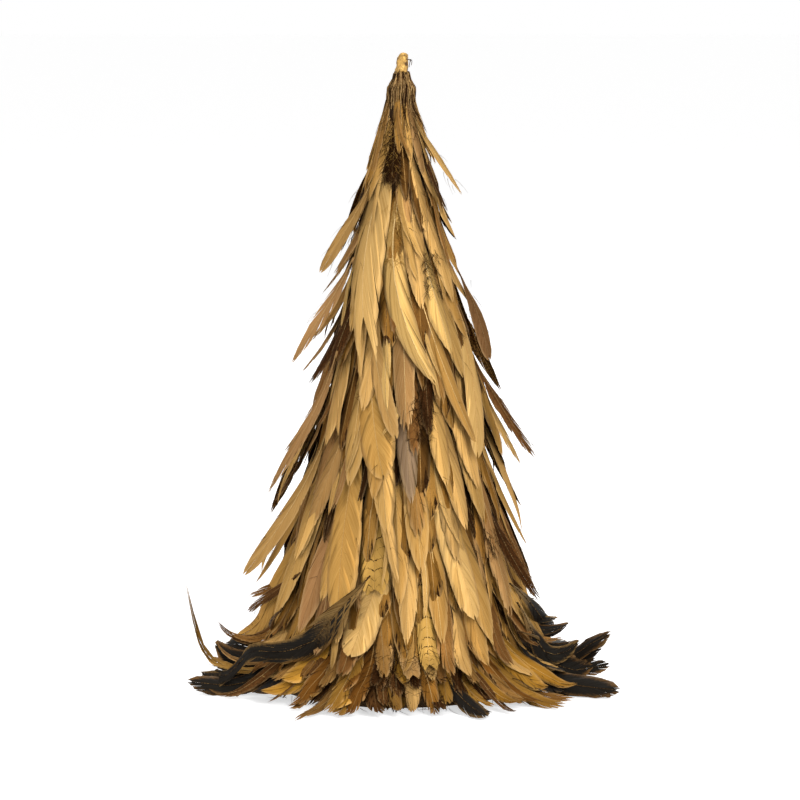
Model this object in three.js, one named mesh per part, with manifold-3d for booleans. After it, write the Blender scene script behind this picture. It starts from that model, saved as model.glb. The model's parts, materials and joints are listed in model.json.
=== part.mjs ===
// A table-top tree of feathers, strung in rows and wound round a cardboard cone.
// Millimetres, +Z up. The front faces -Y, and the origin is the middle of the base.
import * as THREE from "three";
import { mergeVertices } from "three/addons/utils/BufferGeometryUtils.js";
import Module from "manifold-3d";

const wasm = await Module();
wasm.setup();

// The cardboard cone and the board in its mouth
const coneHeight = 490;
const coneBaseRadius = 98;
const coneTopRadius = 2;
const coneWall = 1.6;
const coneSolidTip = 24;
const discThickness = 4;
const fitGap = 0.3;
const coneSegments = 24;

// The painted point over the quills
const capRise = 10;
const capGrip = 6.4;
const capWall = 0.9;
const capSegments = 12;

// The sewn tapes that carry the feathers
const rowCount = 16;
const rowPitch = 27;
const tapeHeight = 9;
const tapeThickness = 1.8;
const upperSkirtHeight = 61;
const lowerSkirtHeight = 50;

// One feather
const vaneWidth = 28;
const quillWidth = 2.2;
const vaneThickness = 1.1;
const tipThickness = 0.6;
const joinTolerance = 0.01;
const mergeDistance = 0.001;

// How the feathers lie: the skirt bends out to the floor in one arc, and each feather rests on those below it
const skirtBend = 60;
const skirtReach = 180;
const layGap = 0.45;
const layRiseShare = 0.12;
const pileGrowth = 12;
const pileTurns = 240;
const sampleStep = 2;
const seatStep = 0.15;

// Worked out from the sizes above
const coneSlope = (coneBaseRadius - coneTopRadius) / coneHeight;
const coneLean = Math.atan(coneSlope);
const overallHeight = coneHeight + capRise;
const topRowHeight = coneHeight - capGrip - fitGap - tapeHeight / 2;
const hundredth = overallHeight / 100;
const tapeSeat = fitGap + tapeThickness / 2;
const degree = Math.PI / 180;
const wholeTurn = 2 * Math.PI;

const gold = new THREE.MeshStandardMaterial({ color: 0xb8892f, roughness: 0.5, metalness: 0.4 });
const brown = new THREE.MeshStandardMaterial({ color: 0x4a3218, roughness: 0.6, metalness: 0.1 });
const greenBlack = new THREE.MeshStandardMaterial({ color: 0x14201c, roughness: 0.4, metalness: 0.1 });
const tipGold = new THREE.MeshStandardMaterial({ color: 0xc79a3c, roughness: 0.35, metalness: 0.8 });
const cardboard = new THREE.MeshStandardMaterial({ color: 0x8f6f4a, roughness: 0.9, metalness: 0 });

// The guide is the surface that the first feathers lie on: the cone, then an arc, then the floor.
// A place near it is an angle round the axis, a length along the guide from the cone's point, and a height
// square to it.
const guide = (() => {
  const slant = coneBaseRadius / Math.sin(coneLean);
  const turn = Math.PI / 2 - coneLean;
  const bendStart = slant - skirtBend * Math.tan(turn / 2);
  const bendEnd = bendStart + skirtBend * turn;
  const apexHeight = coneBaseRadius / Math.tan(coneLean);
  const along = [Math.sin(coneLean), -Math.cos(coneLean)];
  const out = [Math.cos(coneLean), Math.sin(coneLean)];
  const start = [bendStart * along[0], apexHeight + bendStart * along[1]];
  const centre = [start[0] + skirtBend * out[0], start[1] + skirtBend * out[1]];
  return { bendStart, bendEnd, apexHeight, along, out, start, centre };
})();

// The radius and height of a place on the guide
function onGuide(length, lift) {
  if (length <= guide.bendStart) {
    return [
      length * guide.along[0] + lift * guide.out[0],
      guide.apexHeight + length * guide.along[1] + lift * guide.out[1],
    ];
  }
  if (length >= guide.bendEnd) return [guide.centre[0] + length - guide.bendEnd, lift];
  const angle = coneLean + (length - guide.bendStart) / skirtBend;
  const reach = skirtBend - lift;
  return [guide.centre[0] - reach * Math.cos(angle), guide.centre[1] - reach * Math.sin(angle)];
}

// The length along the guide and the height over it of a point given by its radius and height
function toGuide(radius, height) {
  const r = radius - guide.start[0];
  const z = height - guide.start[1];
  const past = r * guide.along[0] + z * guide.along[1];
  if (past <= 0) return [guide.bendStart + past, r * guide.out[0] + z * guide.out[1]];
  if (radius >= guide.centre[0]) return [guide.bendEnd + radius - guide.centre[0], height];
  const towardsRadius = guide.centre[0] - radius;
  const towardsHeight = guide.centre[1] - height;
  const angle = Math.atan2(towardsHeight, towardsRadius) - coneLean;
  return [guide.bendStart + skirtBend * angle, skirtBend - Math.hypot(towardsRadius, towardsHeight)];
}

// The length along the guide at a height above the floor
function lengthAtHeight(height) {
  const length = (guide.apexHeight - height) / Math.cos(coneLean);
  if (length <= guide.bendStart) return length;
  const sine = Math.min(1, (guide.centre[1] - height) / skirtBend);
  return guide.bendStart + skirtBend * (Math.asin(sine) - coneLean);
}

// The length along the guide at a reach over the floor
function lengthAtReach(reach) {
  if (reach >= guide.centre[0]) return guide.bendEnd + reach - guide.centre[0];
  const angle = Math.acos((guide.centre[0] - reach) / skirtBend);
  return guide.bendStart + skirtBend * (angle - coneLean);
}

function pointAt(azimuth, length, lift) {
  const [radius, height] = onGuide(length, lift);
  return new THREE.Vector3(radius * Math.sin(azimuth), -radius * Math.cos(azimuth), height);
}

// The height over the guide of the bare cone or floor, which lie below the guide along its bend
function bareHeight(length) {
  if (length <= guide.bendStart || length >= guide.bendEnd) return 0;
  const angle = coneLean + (length - guide.bendStart) / skirtBend;
  const [radius, height] = onGuide(length, 0);
  const toFloor = height / Math.sin(angle);
  const toCone = (radius - coneRadius(height)) / (Math.cos(angle) + coneSlope * Math.sin(angle));
  return -Math.min(toFloor, toCone);
}

// The pile holds how high the laid feathers reach over the guide, in cells of azimuth and length
const pile = (() => {
  const steps = Math.ceil((guide.bendEnd + skirtReach) / sampleStep);
  const bare = Array.from({ length: steps }, (_, step) => bareHeight((step + 1 / 2) * sampleStep));
  const heights = Float32Array.from({ length: pileTurns * steps }, (_, cell) => bare[cell % steps]);
  return { steps, heights };
})();

function pileCell(azimuth, length) {
  const turn = Math.floor((azimuth / wholeTurn) * pileTurns);
  const step = Math.floor(length / sampleStep);
  return [((turn % pileTurns) + pileTurns) % pileTurns, Math.min(Math.max(step, 0), pile.steps - 1)];
}

function pileHeight(azimuth, length) {
  const [turn, step] = pileCell(azimuth, length);
  return pile.heights[turn * pile.steps + step];
}

// Raises the cell of a point, and the cells round it, to the point's height
function raisePile(azimuth, length, lift) {
  const [turn, step] = pileCell(azimuth, length);
  for (const side of [-1, 0, 1]) {
    for (const next of [-1, 0, 1]) {
      const row = Math.min(Math.max(step + next, 0), pile.steps - 1);
      const cell = ((turn + side + pileTurns) % pileTurns) * pile.steps + row;
      pile.heights[cell] = Math.max(pile.heights[cell], lift);
    }
  }
}

// Stations along a feather as shares of its length, with the half width there as a share of the vane's
const shortStationShares = [[0, 0], [0.2, 0.7], [0.62, 1], [0.9, 0.66]];
const longStationShares = [[0, 0], [0.16, 0.55], [0.4, 0.95], [0.66, 1], [0.9, 0.62]];

// A feather runs from a root to a tip, each an azimuth and a length along the guide. It keeps a straight line
// as the cone widens, apart from its bow. Its section is a lens: two edges, and a ridge above and below.
function featherPath(feather) {
  const bends = feather.tip.length > guide.bendStart || !feather.sewn;
  const shares = bends ? longStationShares : shortStationShares;
  const tipRadius = onGuide(feather.tip.length, 0)[0];
  const run = feather.tip.length - feather.root.length;
  const swing = tipRadius * (feather.tip.azimuth - feather.root.azimuth);
  const reach = Math.hypot(run, swing);
  const place = (share) => {
    const length = feather.root.length + run * share;
    const aside = swing * share + feather.bow * reach * 4 * share * (1 - share);
    return { azimuth: feather.root.azimuth + aside / onGuide(length, 0)[0], length };
  };
  const rise = (share) => feather.seat + feather.rise * reach * share + feather.lift * share * share;
  const stations = shares.map(([share, widthShare]) => {
    const half = (quillWidth + (vaneWidth * feather.width - quillWidth) * widthShare) / 2;
    const thick = (vaneThickness + (tipThickness - vaneThickness) * share) / 2;
    return { share, half, thick, ...place(share), lift: rise(share) };
  });
  const tip = { share: 1, half: 0, thick: 0, ...place(1), lift: rise(1) };
  const slant = Math.atan2(swing, run);
  return { feather, stations: [...stations, tip], slant };
}

// The four corners of the section at a station: left edge, top, right edge, bottom
function sectionAt(path, station) {
  const [radius] = onGuide(station.length, station.lift);
  const sideways = (station.half * Math.cos(path.slant)) / radius;
  const lengthways = -station.half * Math.sin(path.slant);
  const { azimuth, length, lift, thick } = station;
  return [
    pointAt(azimuth - sideways, length - lengthways, lift),
    pointAt(azimuth, length, lift + thick),
    pointAt(azimuth + sideways, length + lengthways, lift),
    pointAt(azimuth, length, lift - thick),
  ];
}

// Points spread over one side of a feather between two stations, on the flat faces that span them
function sidePoints(path, index, ridge, visit) {
  const near = sectionAt(path, path.stations[index]);
  const far = sectionAt(path, path.stations[index + 1]);
  const lengthSteps = Math.ceil(near[ridge].distanceTo(far[ridge]) / sampleStep);
  const width = Math.max(near[0].distanceTo(near[2]), far[0].distanceTo(far[2]));
  const cellWidth = (Math.hypot(near[ridge].x, near[ridge].y) * wholeTurn) / pileTurns;
  const sideStep = Math.min(Math.max(cellWidth, sampleStep / 2), sampleStep);
  const sideSteps = Math.ceil(width / 2 / sideStep) + 1;
  const from = new THREE.Vector3();
  const to = new THREE.Vector3();
  for (let i = 0; i <= lengthSteps; i++) {
    const share = i / lengthSteps;
    for (const edge of [0, 2]) {
      for (let j = 0; j <= sideSteps; j++) {
        from.lerpVectors(near[ridge], near[edge], j / sideSteps);
        to.lerpVectors(far[ridge], far[edge], j / sideSteps);
        from.lerp(to, share);
        const [length, lift] = toGuide(Math.hypot(from.x, from.y), from.z);
        visit(share, Math.atan2(from.x, -from.y), length, lift);
      }
    }
  }
}

// Lifts a feather's stations until its underside clears the pile. A sewn root stays in its tape.
const rootShare = 0.6;
const layPasses = 10;
function settle(path) {
  const sewn = path.feather.sewn;
  for (let pass = 0; pass < layPasses; pass++) {
    let moved = false;
    for (let i = 0; i + 1 < path.stations.length; i++) {
      let needNear = 0;
      let needFar = 0;
      sidePoints(path, i, 3, (share, azimuth, length, lift) => {
        const short = pileHeight(azimuth, length) + layGap - lift;
        if (short <= 0) return;
        if (sewn && i === 0) {
          if (share > rootShare) needFar = Math.max(needFar, short / share);
          return;
        }
        const weight = short / ((1 - share) ** 2 + share ** 2);
        needNear = Math.max(needNear, weight * (1 - share));
        needFar = Math.max(needFar, weight * share);
      });
      if (needNear + needFar === 0) continue;
      path.stations[i].lift += needNear;
      path.stations[i + 1].lift += needFar;
      moved = true;
    }
    if (!moved) return;
  }
}

function raiseWith(path) {
  for (let i = 0; i + 1 < path.stations.length; i++) {
    sidePoints(path, i, 1, (share, azimuth, length, lift) => raisePile(azimuth, length, lift));
  }
}

// The closed skin of a feather: a small end at the quill, four faces between stations, and a pointed tip.
// Each face is cut from its near ridge to its far edge, above as below, so that a twisted feather keeps its
// thickness.
function featherSolid(path) {
  const rings = path.stations.slice(0, -1).map((station) => sectionAt(path, station));
  const tip = path.stations.at(-1);
  const points = [...rings.flat(), pointAt(tip.azimuth, tip.length, tip.lift)];
  const last = points.length - 1;
  const faces = [0, 1, 2, 0, 2, 3];
  for (let ring = 0; ring + 1 < rings.length; ring++) {
    for (let side = 0; side < 4; side++) {
      const a = ring * 4 + side;
      const b = ring * 4 + ((side + 1) % 4);
      if (side % 2 === 0) faces.push(a, a + 4, b, b, a + 4, b + 4);
      else faces.push(a, a + 4, b + 4, a, b + 4, b);
    }
  }
  for (let side = 0; side < 4; side++) {
    const a = (rings.length - 1) * 4 + side;
    const b = (rings.length - 1) * 4 + ((side + 1) % 4);
    faces.push(a, last, b);
  }
  const geometry = new THREE.BufferGeometry();
  geometry.setAttribute("position", new THREE.Float32BufferAttribute(points.flatMap((p) => p.toArray()), 3));
  geometry.setIndex(faces);
  return solidOf(geometry);
}

// A geometry as a solid whose faces point out
function solidOf(geometry) {
  geometry.deleteAttribute("normal");
  geometry.deleteAttribute("uv");
  const merged = mergeVertices(geometry, mergeDistance);
  const triVerts = new Uint32Array(merged.index.array);
  const vertProperties = new Float32Array(merged.attributes.position.array);
  const made = new wasm.Manifold(new wasm.Mesh({ numProp: 3, vertProperties, triVerts }));
  if (made.volume() > 0) return made;
  for (let i = 0; i < triVerts.length; i += 3) {
    [triVerts[i + 1], triVerts[i + 2]] = [triVerts[i + 2], triVerts[i + 1]];
  }
  return new wasm.Manifold(new wasm.Mesh({ numProp: 3, vertProperties, triVerts }));
}

function addNode(group, name, solid, material) {
  const mesh = solid.getMesh();
  const geometry = new THREE.BufferGeometry();
  geometry.setAttribute("position", new THREE.Float32BufferAttribute(mesh.vertProperties, 3));
  geometry.setIndex(new THREE.Uint32BufferAttribute(mesh.triVerts, 1));
  geometry.computeVertexNormals();
  const node = new THREE.Mesh(geometry, material);
  node.name = name;
  group.add(node);
}

// A profile of radius and height turned about the tree's axis
function turned(profile, segments) {
  const points = profile.map(([radius, height]) => new THREE.Vector2(radius, height));
  return solidOf(new THREE.LatheGeometry(points, segments).rotateX(Math.PI / 2));
}

function coneRadius(height) {
  return coneBaseRadius - coneSlope * height;
}

function coneShell() {
  const wallAcross = coneWall / Math.cos(coneLean);
  const hollowTop = coneHeight - coneSolidTip;
  const profile = [
    [0, coneHeight],
    [coneTopRadius, coneHeight],
    [coneBaseRadius, 0],
    [coneBaseRadius - wallAcross, 0],
    [coneRadius(hollowTop) - wallAcross, hollowTop],
    [0, hollowTop],
  ];
  return turned(profile, coneSegments);
}

function baseDisc() {
  const edge = coneBaseRadius - (coneWall + fitGap) / Math.cos(coneLean);
  const profile = [
    [0, 0],
    [edge, 0],
    [edge - coneSlope * discThickness, discThickness],
    [0, discThickness],
  ];
  return turned(profile, coneSegments);
}

// The painted point swells a little between its foot and its top, and holds the cone's tip in a socket
const capOutlineShares = [[1, 0], [0.86, 0.35], [0.94, 0.55], [0.72, 0.8], [0.5, 0.96]];
function tipCap() {
  const foot = coneHeight - capGrip;
  const rise = overallHeight - foot;
  const socket = fitGap / Math.cos(coneLean);
  const footRadius = coneRadius(foot) + socket + capWall;
  const profile = [
    [0, coneHeight + fitGap],
    [coneTopRadius + socket, coneHeight + fitGap],
    [coneRadius(foot) + socket, foot],
    ...capOutlineShares.map(([width, height]) => [footRadius * width, foot + rise * height]),
    [0, overallHeight],
  ];
  return turned(profile, capSegments);
}

// A sewn tape follows the cone with a small gap, and its height is its middle's
function tape(height) {
  const low = height - tapeHeight / 2;
  const high = height + tapeHeight / 2;
  const inside = fitGap / Math.cos(coneLean);
  const outside = (fitGap + tapeThickness) / Math.cos(coneLean);
  const profile = [
    [coneRadius(low) + inside, low],
    [coneRadius(low) + outside, low],
    [coneRadius(high) + outside, high],
    [coneRadius(high) + inside, high],
    [coneRadius(low) + inside, low],
  ];
  return turned(profile, coneSegments);
}

function raiseWithTape(height) {
  const low = lengthAtHeight(height - tapeHeight / 2);
  const high = lengthAtHeight(height + tapeHeight / 2);
  for (let length = high; length <= low; length += sampleStep / 2) {
    for (let turn = 0; turn < pileTurns; turn++) {
      raisePile((turn / pileTurns) * wholeTurn, length, fitGap + tapeThickness);
    }
  }
}

// The front feathers of each row as they are seen from the front, the top row first. Each feather is the
// side of its root, the side of its tip and the height of its tip, in hundredths of the overall height, its
// width as a share of the vane's, and where it needs them its bow as a share of its length and its tip's
// lift in hundredths.
const frontRowShares = [
  [
    [0.9, 3.2, 81, 0.36],
    [-1.8, -3.9, 80.5, 0.36],
    [1.4, 5.6, 83, 0.34, 0.03],
    [-1, -4.4, 83, 0.32, -0.05],
    [0.3, 1.5, 83, 0.32],
  ],
  [
    [-0.6, -1.2, 79.5, 0.48],
    [2.2, 7.6, 75.5, 0.34],
    [-3, -6.2, 76, 0.4],
    [-1.6, -4.2, 77, 0.42],
    [0.8, 4.7, 77.7, 0.42],
  ],
  [
    [0.3, 1.2, 72, 0.5],
    [4.2, 8.2, 74, 0.38],
    [-3.6, -7.4, 72.5, 0.45],
    [1.6, 3.9, 72.4, 0.5],
    [-1.4, -4.2, 51.9, 1.05, -0.055],
  ],
  [
    [-3, -7, 60, 0.55],
    [1.6, 3.1, 60.5, 0.62],
    [3, 7.6, 61.5, 0.55],
    [-4.4, -10.7, 66, 0.48],
    [5.4, 9.2, 71.5, 0.34],
    [4.6, 9, 65.7, 0.5, 0.02],
    [0.2, 5, 48.9, 0.72, -0.09],
  ],
  [
    [-0.3, -0.6, 56.5, 0.62],
    [-3.6, -6.8, 57, 0.6],
    [4.2, 9.6, 56, 0.55],
    [-5.8, -12.4, 63.4, 0.45],
    [5.6, 10.9, 61.5, 0.5],
    [2.2, 7.3, 53.7, 0.72],
  ],
  [
    [-2.4, -2, 55, 0.5],
    [4.6, 9.2, 50, 0.6],
    [-5, -9.5, 50, 0.6],
    [-7.6, -14.3, 55.7, 0.52],
    [-7.2, -9.6, 60.5, 0.42],
    [1.8, 10.9, 39, 0.42, -0.03],
    [7, 10.6, 37.8, 0.8, 0.05],
  ],
  [
    [4.4, 6.2, 46, 0.62],
    [-3.2, -5.5, 45, 0.66],
    [9, 12.6, 47.3, 0.52],
    [-8.6, -15.5, 51, 0.5],
    [-7.8, -14.3, 48.9, 0.52],
    [0.4, 0.9, 41.7, 0.66],
    [-5.2, -0.5, 40.7, 0.52, -0.02],
  ],
  [
    [3.8, 4.4, 41.3, 0.52],
    [0.8, 2.4, 38, 0.6],
    [9.9, 15.2, 42, 0.5],
    [7.8, 12.4, 39, 0.62],
    [-9.6, -14, 41.3, 0.52],
    [-8.4, -10.9, 39.7, 0.62],
    [-4.6, -2.3, 34.7, 1.05, -0.03],
  ],
  [
    [-2.3, -3.9, 31.5, 0.72],
    [4.6, 7, 33.5, 0.62],
    [7.8, 11.6, 33, 0.62],
    [10.1, 15.5, 35.5, 0.52],
    [-11.6, -18, 38.5, 0.45],
    [-10.9, -15.5, 36.7, 0.55],
    [-6.2, -7.5, 33.5, 0.72],
    [0.3, 1.7, 30.9, 0.62],
  ],
  [
    [-3.9, -1.9, 26.1, 0.7],
    [1.6, 2.8, 25.5, 0.7],
    [12.6, 18.2, 30, 0.5],
    [9.3, 12.4, 28, 0.62],
    [-12.4, -19.4, 30.2, 0.34],
    [-9.6, -12.7, 31, 0.6],
    [6.2, 9.8, 26.8, 0.6],
    [-7.4, -12.9, 28.2, 0.62],
  ],
  [
    [7, 8.5, 22, 0.62],
    [-13, -18.5, 24, 0.5],
    [-10.9, -15.5, 22, 0.62],
    [13.6, 18.8, 24, 0.5],
    [10.9, 14.8, 22, 0.62],
    [2.3, 3.1, 20.3, 0.76],
    [-5, -0.3, 18.8, 0.42],
    [-7, -8.9, 13.6, 0.98, -0.02],
  ],
  [
    [-0.8, 0, 15.5, 0.62],
    [14.8, 20, 17.5, 0.5],
    [-14, -21.4, 18, 0.52],
    [-7.8, -11.7, 16, 0.72],
    [7.6, 9.2, 14.5, 0.66],
    [-11.7, -18.2, 12.7, 0.72],
    [13, 16, 13.2, 0.62],
    [4.4, 11, 13.3, 0.82, 0.02],
  ],
  [
    [4.6, 6.4, 9.5, 0.66],
    [-7.6, -9.4, 9.5, 0.7],
    [14, 17.9, 11.5, 0.62],
    [-10.1, -15, 11.1, 0.72],
    [1.6, 0.9, 9.5, 0.6],
    [-12.4, -22, 10.5, 0.74],
    [8.6, 13.5, 9.8, 0.74],
    [-4.4, -3.9, 17, 0.85],
  ],
  [
    [-10.9, -12.7, 7, 0.72],
    [14.8, 18.6, 8.5, 0.58],
    [-15.5, -20, 9.5, 0.62],
    [10.1, 12.7, 4.8, 0.62],
    [6.2, 7.3, 3, 0.62],
    [-0.8, -7.5, 7, 0.95, -0.02],
    [3.9, 4.4, 4.3, 0.74],
  ],
  [
    [-3.9, -2.3, 3.3, 0.58],
    [3.9, 4.7, 2.8, 0.58],
    [13.2, 16.3, 4.8, 0.62],
    [-16.8, -21.4, 7.5, 0.62],
    [16.3, 21, 7, 0.55],
    [-12.4, -17, 4.8, 0.72],
    [8.6, 10, 3.3, 0.62],
    [-7, -8.5, 3.3, 0.72],
    [-1.2, 2, 3, 0.55],
  ],
  [
    [1.6, 2.3, 1.8, 0.5],
    [-14, -17, 2.4, 0.5],
    [5.4, 6.2, 2.6, 0.5],
    [14, 18, 3, 0.5],
    [-1.6, -3.9, 2.2, 0.45],
    [9.3, 10.9, 2.4, 0.5],
    [-8.5, -10.9, 1.8, 0.5],
    [-18, -23, 5, 0.5],
  ],
];

// The skirt's feathers: azimuth of the root and of the tip in degrees, reach of the tip as a share of the
// skirt's, its height in hundredths of the overall height, and its width as a share of the vane's
const lowerSkirtShares = [
  [-72, -86, 0.82, 1.2, 0.6],
  [-60, -71, 0.88, 0.6, 0.4],
  [-40, -52, 0.72, 0.6, 0.5],
  [-24, -29, 0.86, 0.5, 0.42],
  [-4, -8, 0.62, 0.6, 0.45],
  [18, 27, 0.85, 0.5, 0.42],
  [36, 44, 0.72, 0.6, 0.45],
  [50, 55, 0.92, 0.6, 0.5],
  [64, 70, 1, 1, 0.5],
  [80, 84, 0.82, 1, 0.5],
  [98, 94, 0.93, 1.4, 0.42],
  [116, 122, 0.86, 1, 0.5],
  [138, 146, 0.95, 0.8, 0.45],
  [160, 166, 0.82, 0.6, 0.5],
  [184, 180, 0.92, 0.8, 0.45],
  [206, 212, 0.84, 0.6, 0.5],
  [228, 236, 0.96, 0.8, 0.5],
  [250, 256, 0.86, 1.4, 0.45],
];
const upperSkirtShares = [
  [-80, -92, 0.84, 3.5, 0.4],
  [-66, -78, 0.7, 3, 0.55],
  [-50, -60, 0.66, 2, 0.5],
  [-32, -36, 0.64, 1.5, 0.45],
  [-14, -18, 0.66, 1.5, 0.45],
  [8, 10, 0.6, 1.5, 0.45],
  [28, 34, 0.66, 1.5, 0.45],
  [46, 56, 0.64, 2, 0.5],
  [60, 70, 0.7, 3, 0.5],
  [78, 84, 0.8, 3.5, 0.55],
  [100, 98, 0.76, 4, 0.45],
  [126, 132, 0.8, 3, 0.5],
  [150, 156, 0.7, 3, 0.45],
  [174, 170, 0.78, 3, 0.5],
  [198, 202, 0.7, 3, 0.45],
  [220, 228, 0.8, 3, 0.5],
  [242, 250, 0.74, 4, 0.45],
];

// Short feathers on the lowest tape hang down the cone's foot and hide it
const hemCount = 20;
const hemWidthShare = 0.62;
const hemSwing = 4;
const hemTipRadius = 102;
const hemTipHeight = 3.5;

// Single feathers glued on last: the side and height of the root, the side and height of the tip, all in
// hundredths of the overall height, the width as a share of the vane's, and the bow as a share of the length.
// One marked floor ends over the floor, at the height given, and one marked back is on the far side.
const strayFeathers = {
  coque_left_long: { shares: [-4.5, 20, -32.4, 1.6, 0.6, 0.13], material: greenBlack, floor: true },
  coque_left_oval: { shares: [-17.5, 13, -29.5, 5, 0.5, 0.02], material: greenBlack, edge: 1, floor: true },
  coque_left_curl: { shares: [-17, 10, -34.4, 11, 0.2, 0.02], material: brown, floor: true },
  coque_left_raised: { shares: [-15.5, 19, -24, 13.6, 0.3, 0.03], material: brown, edge: 1 },
  coque_right_raised: { shares: [17, 14, 27.4, 7, 0.5, -0.03], material: greenBlack, floor: true },
  coque_right_tip: { shares: [16.5, 10, 33.6, 7, 0.3, 0.03], material: greenBlack, edge: 1, floor: true },
  coque_right_fan: { shares: [16.5, 18, 23.5, 11.5, 0.4, 0.04], material: greenBlack, edge: 1 },
  stray_left_low: { shares: [-11.7, 41, -23.8, 21, 0.5, -0.03], material: gold },
  stray_right_low: { shares: [13.7, 30, 19.8, 17, 0.4, 0], material: brown },
  stray_left_lower: { shares: [-8.2, 55, -20.5, 33.9, 0.5, -0.03], material: gold },
  stray_right_thin: { shares: [12.4, 46, 19.1, 33.7, 0.34, -0.03], material: gold },
  stray_right_forked: { shares: [10.9, 54, 20.7, 39.1, 0.45, 0.02], material: brown },
  stray_left_long: { shares: [-6, 69.5, -16.8, 53.7, 0.45, 0], material: gold },
  stray_right_dark: { shares: [8.4, 66, 13.8, 54.6, 0.48, 0.06], material: brown },
  stray_left_upper: { shares: [-3.9, 81.5, -12.3, 67.3, 0.4, 0], material: gold },
  stray_right_upper: { shares: [1.8, 91, 9.2, 78.7, 0.28, 0], material: gold },
  stray_back_upper: { shares: [-1.8, 86, -7.5, 68, 0.4, 0], material: gold, back: true },
  stray_back_middle: { shares: [6, 66, 14.5, 45, 0.5, 0], material: gold, back: true },
  stray_back_lower: { shares: [-9, 47, -19.5, 25, 0.5, 0], material: gold, back: true },
};

// The pile's usual outside, which the shares of the front feathers are read against
function dressedRadius(height) {
  const below = Math.max(0, overallHeight - height);
  return coneRadius(height) + coneTopRadius + (pileGrowth * below) / overallHeight;
}

// The azimuth of a place seen at one side of the front, and the lift that takes a far one out past the pile.
// A feather at the edge stands at one of a few azimuths in turn, so that they don't all lie on each other.
const edgeAngles = [78, 97, 67, 105];
function seenAt(side, height, turn) {
  const radius = dressedRadius(height);
  const edge = edgeAngles[turn % edgeAngles.length] * degree;
  const share = side / radius;
  if (Math.abs(share) < Math.min(Math.sin(edge), Math.sin(edgeAngles[0] * degree))) {
    return { azimuth: Math.asin(share), beyond: 0 };
  }
  const beyond = Math.max(0, Math.abs(side) / Math.sin(edge) - radius);
  return { azimuth: Math.sign(side) * edge, beyond };
}

// The same run of numbers from 0 to 1 each time, for the rows behind
const randomSeed = 7;
const randomFactor = 16807;
const randomModulus = 2147483647;
function seededRandom() {
  let state = randomSeed;
  return () => {
    state = (state * randomFactor) % randomModulus;
    return state / randomModulus;
  };
}

function frontFeather(row, shares, index) {
  const [rootSide, tipSide, tipHeight, width, bow = 0, lift = 0] = shares;
  const height = rowHeight(row);
  const root = seenAt(rootSide * hundredth, height, row + index);
  const tip = seenAt(tipSide * hundredth, tipHeight * hundredth, row + index);
  return {
    root: { azimuth: root.azimuth, length: lengthAtHeight(height) },
    tip: { azimuth: tip.azimuth, length: lengthAtHeight(tipHeight * hundredth) },
    width,
    bow,
    rise: layRiseShare,
    lift: tip.beyond + lift * hundredth,
    seat: tapeSeat,
    sewn: true,
  };
}

// Behind, the rows go on by rule: as many feathers as fit the row, each a little out of line with the next,
// and every other row half a step round. Those low on the tree are longer and wider than those at its top.
const leastBackCount = 3;
const backWidthShare = 0.72;
const backSpreadShare = 1.15;
const firstBackAngle = 93;
const firstBackLength = 66;
const backLengthGrowth = 72;
const rootStrayShare = 0.6;
const tipStrayShare = 0.7;
const lengthVaryShare = 0.4;
const widthVaryShare = 0.5;
const backBowShare = 0.08;
const backLiftShare = 0.35;
const lowestBendShares = [0.35, 0.55];
function backFeathers(row, random) {
  const height = rowHeight(row);
  const from = firstBackAngle * degree;
  const span = 2 * (Math.PI - from);
  const fitting = (span * dressedRadius(height)) / (vaneWidth * backWidthShare * backSpreadShare);
  const count = Math.max(leastBackCount, Math.round(fitting));
  const step = span / (count - 1);
  const shift = (row % 2) / 2;
  const growth = Math.min(1, (overallHeight - height) / (overallHeight / 2));
  const usualReach = firstBackLength + backLengthGrowth * growth;
  const usualWidth = (backWidthShare * (1 + growth)) / 2;
  const about = (share) => share * (random() - 1 / 2);
  const [bendShare, lastBendShare] = lowestBendShares;
  return Array.from({ length: count - (row % 2) }, (_, i) => {
    const azimuth = from + (i + shift) * step + about(step * rootStrayShare);
    const reach = usualReach * (1 + about(lengthVaryShare));
    const lowest = guide.bendStart + skirtBend * (bendShare + (lastBendShare - bendShare) * random());
    const length = Math.min(lengthAtHeight(height) + reach, lowest);
    return {
      root: { azimuth, length: lengthAtHeight(height) },
      tip: { azimuth: azimuth + about(step * tipStrayShare), length },
      width: usualWidth * (1 + about(widthVaryShare)),
      bow: about(backBowShare),
      rise: layRiseShare,
      lift: vaneWidth * backLiftShare * random() ** 2,
      seat: tapeSeat,
      sewn: true,
    };
  });
}

function skirtFeather(height, shares) {
  const [rootAngle, tipAngle, reachShare, tipRise, width] = shares;
  return {
    root: { azimuth: rootAngle * degree, length: lengthAtHeight(height) },
    tip: { azimuth: tipAngle * degree, length: lengthAtReach(skirtReach * reachShare) },
    width,
    bow: 0,
    rise: 0,
    lift: Math.max(0, tipRise * hundredth - tapeSeat),
    seat: tapeSeat,
    sewn: true,
  };
}

function hemFeather(index) {
  const azimuth = (index / hemCount) * wholeTurn;
  const swing = (index % 2 ? hemSwing : -hemSwing) * degree;
  const [length, lift] = toGuide(hemTipRadius, hemTipHeight);
  return {
    root: { azimuth, length: lengthAtHeight(lowerSkirtHeight) },
    tip: { azimuth: azimuth + swing, length },
    width: hemWidthShare,
    bow: 0,
    rise: 0,
    lift: lift - tapeSeat,
    seat: tapeSeat,
    sewn: true,
  };
}

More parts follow.
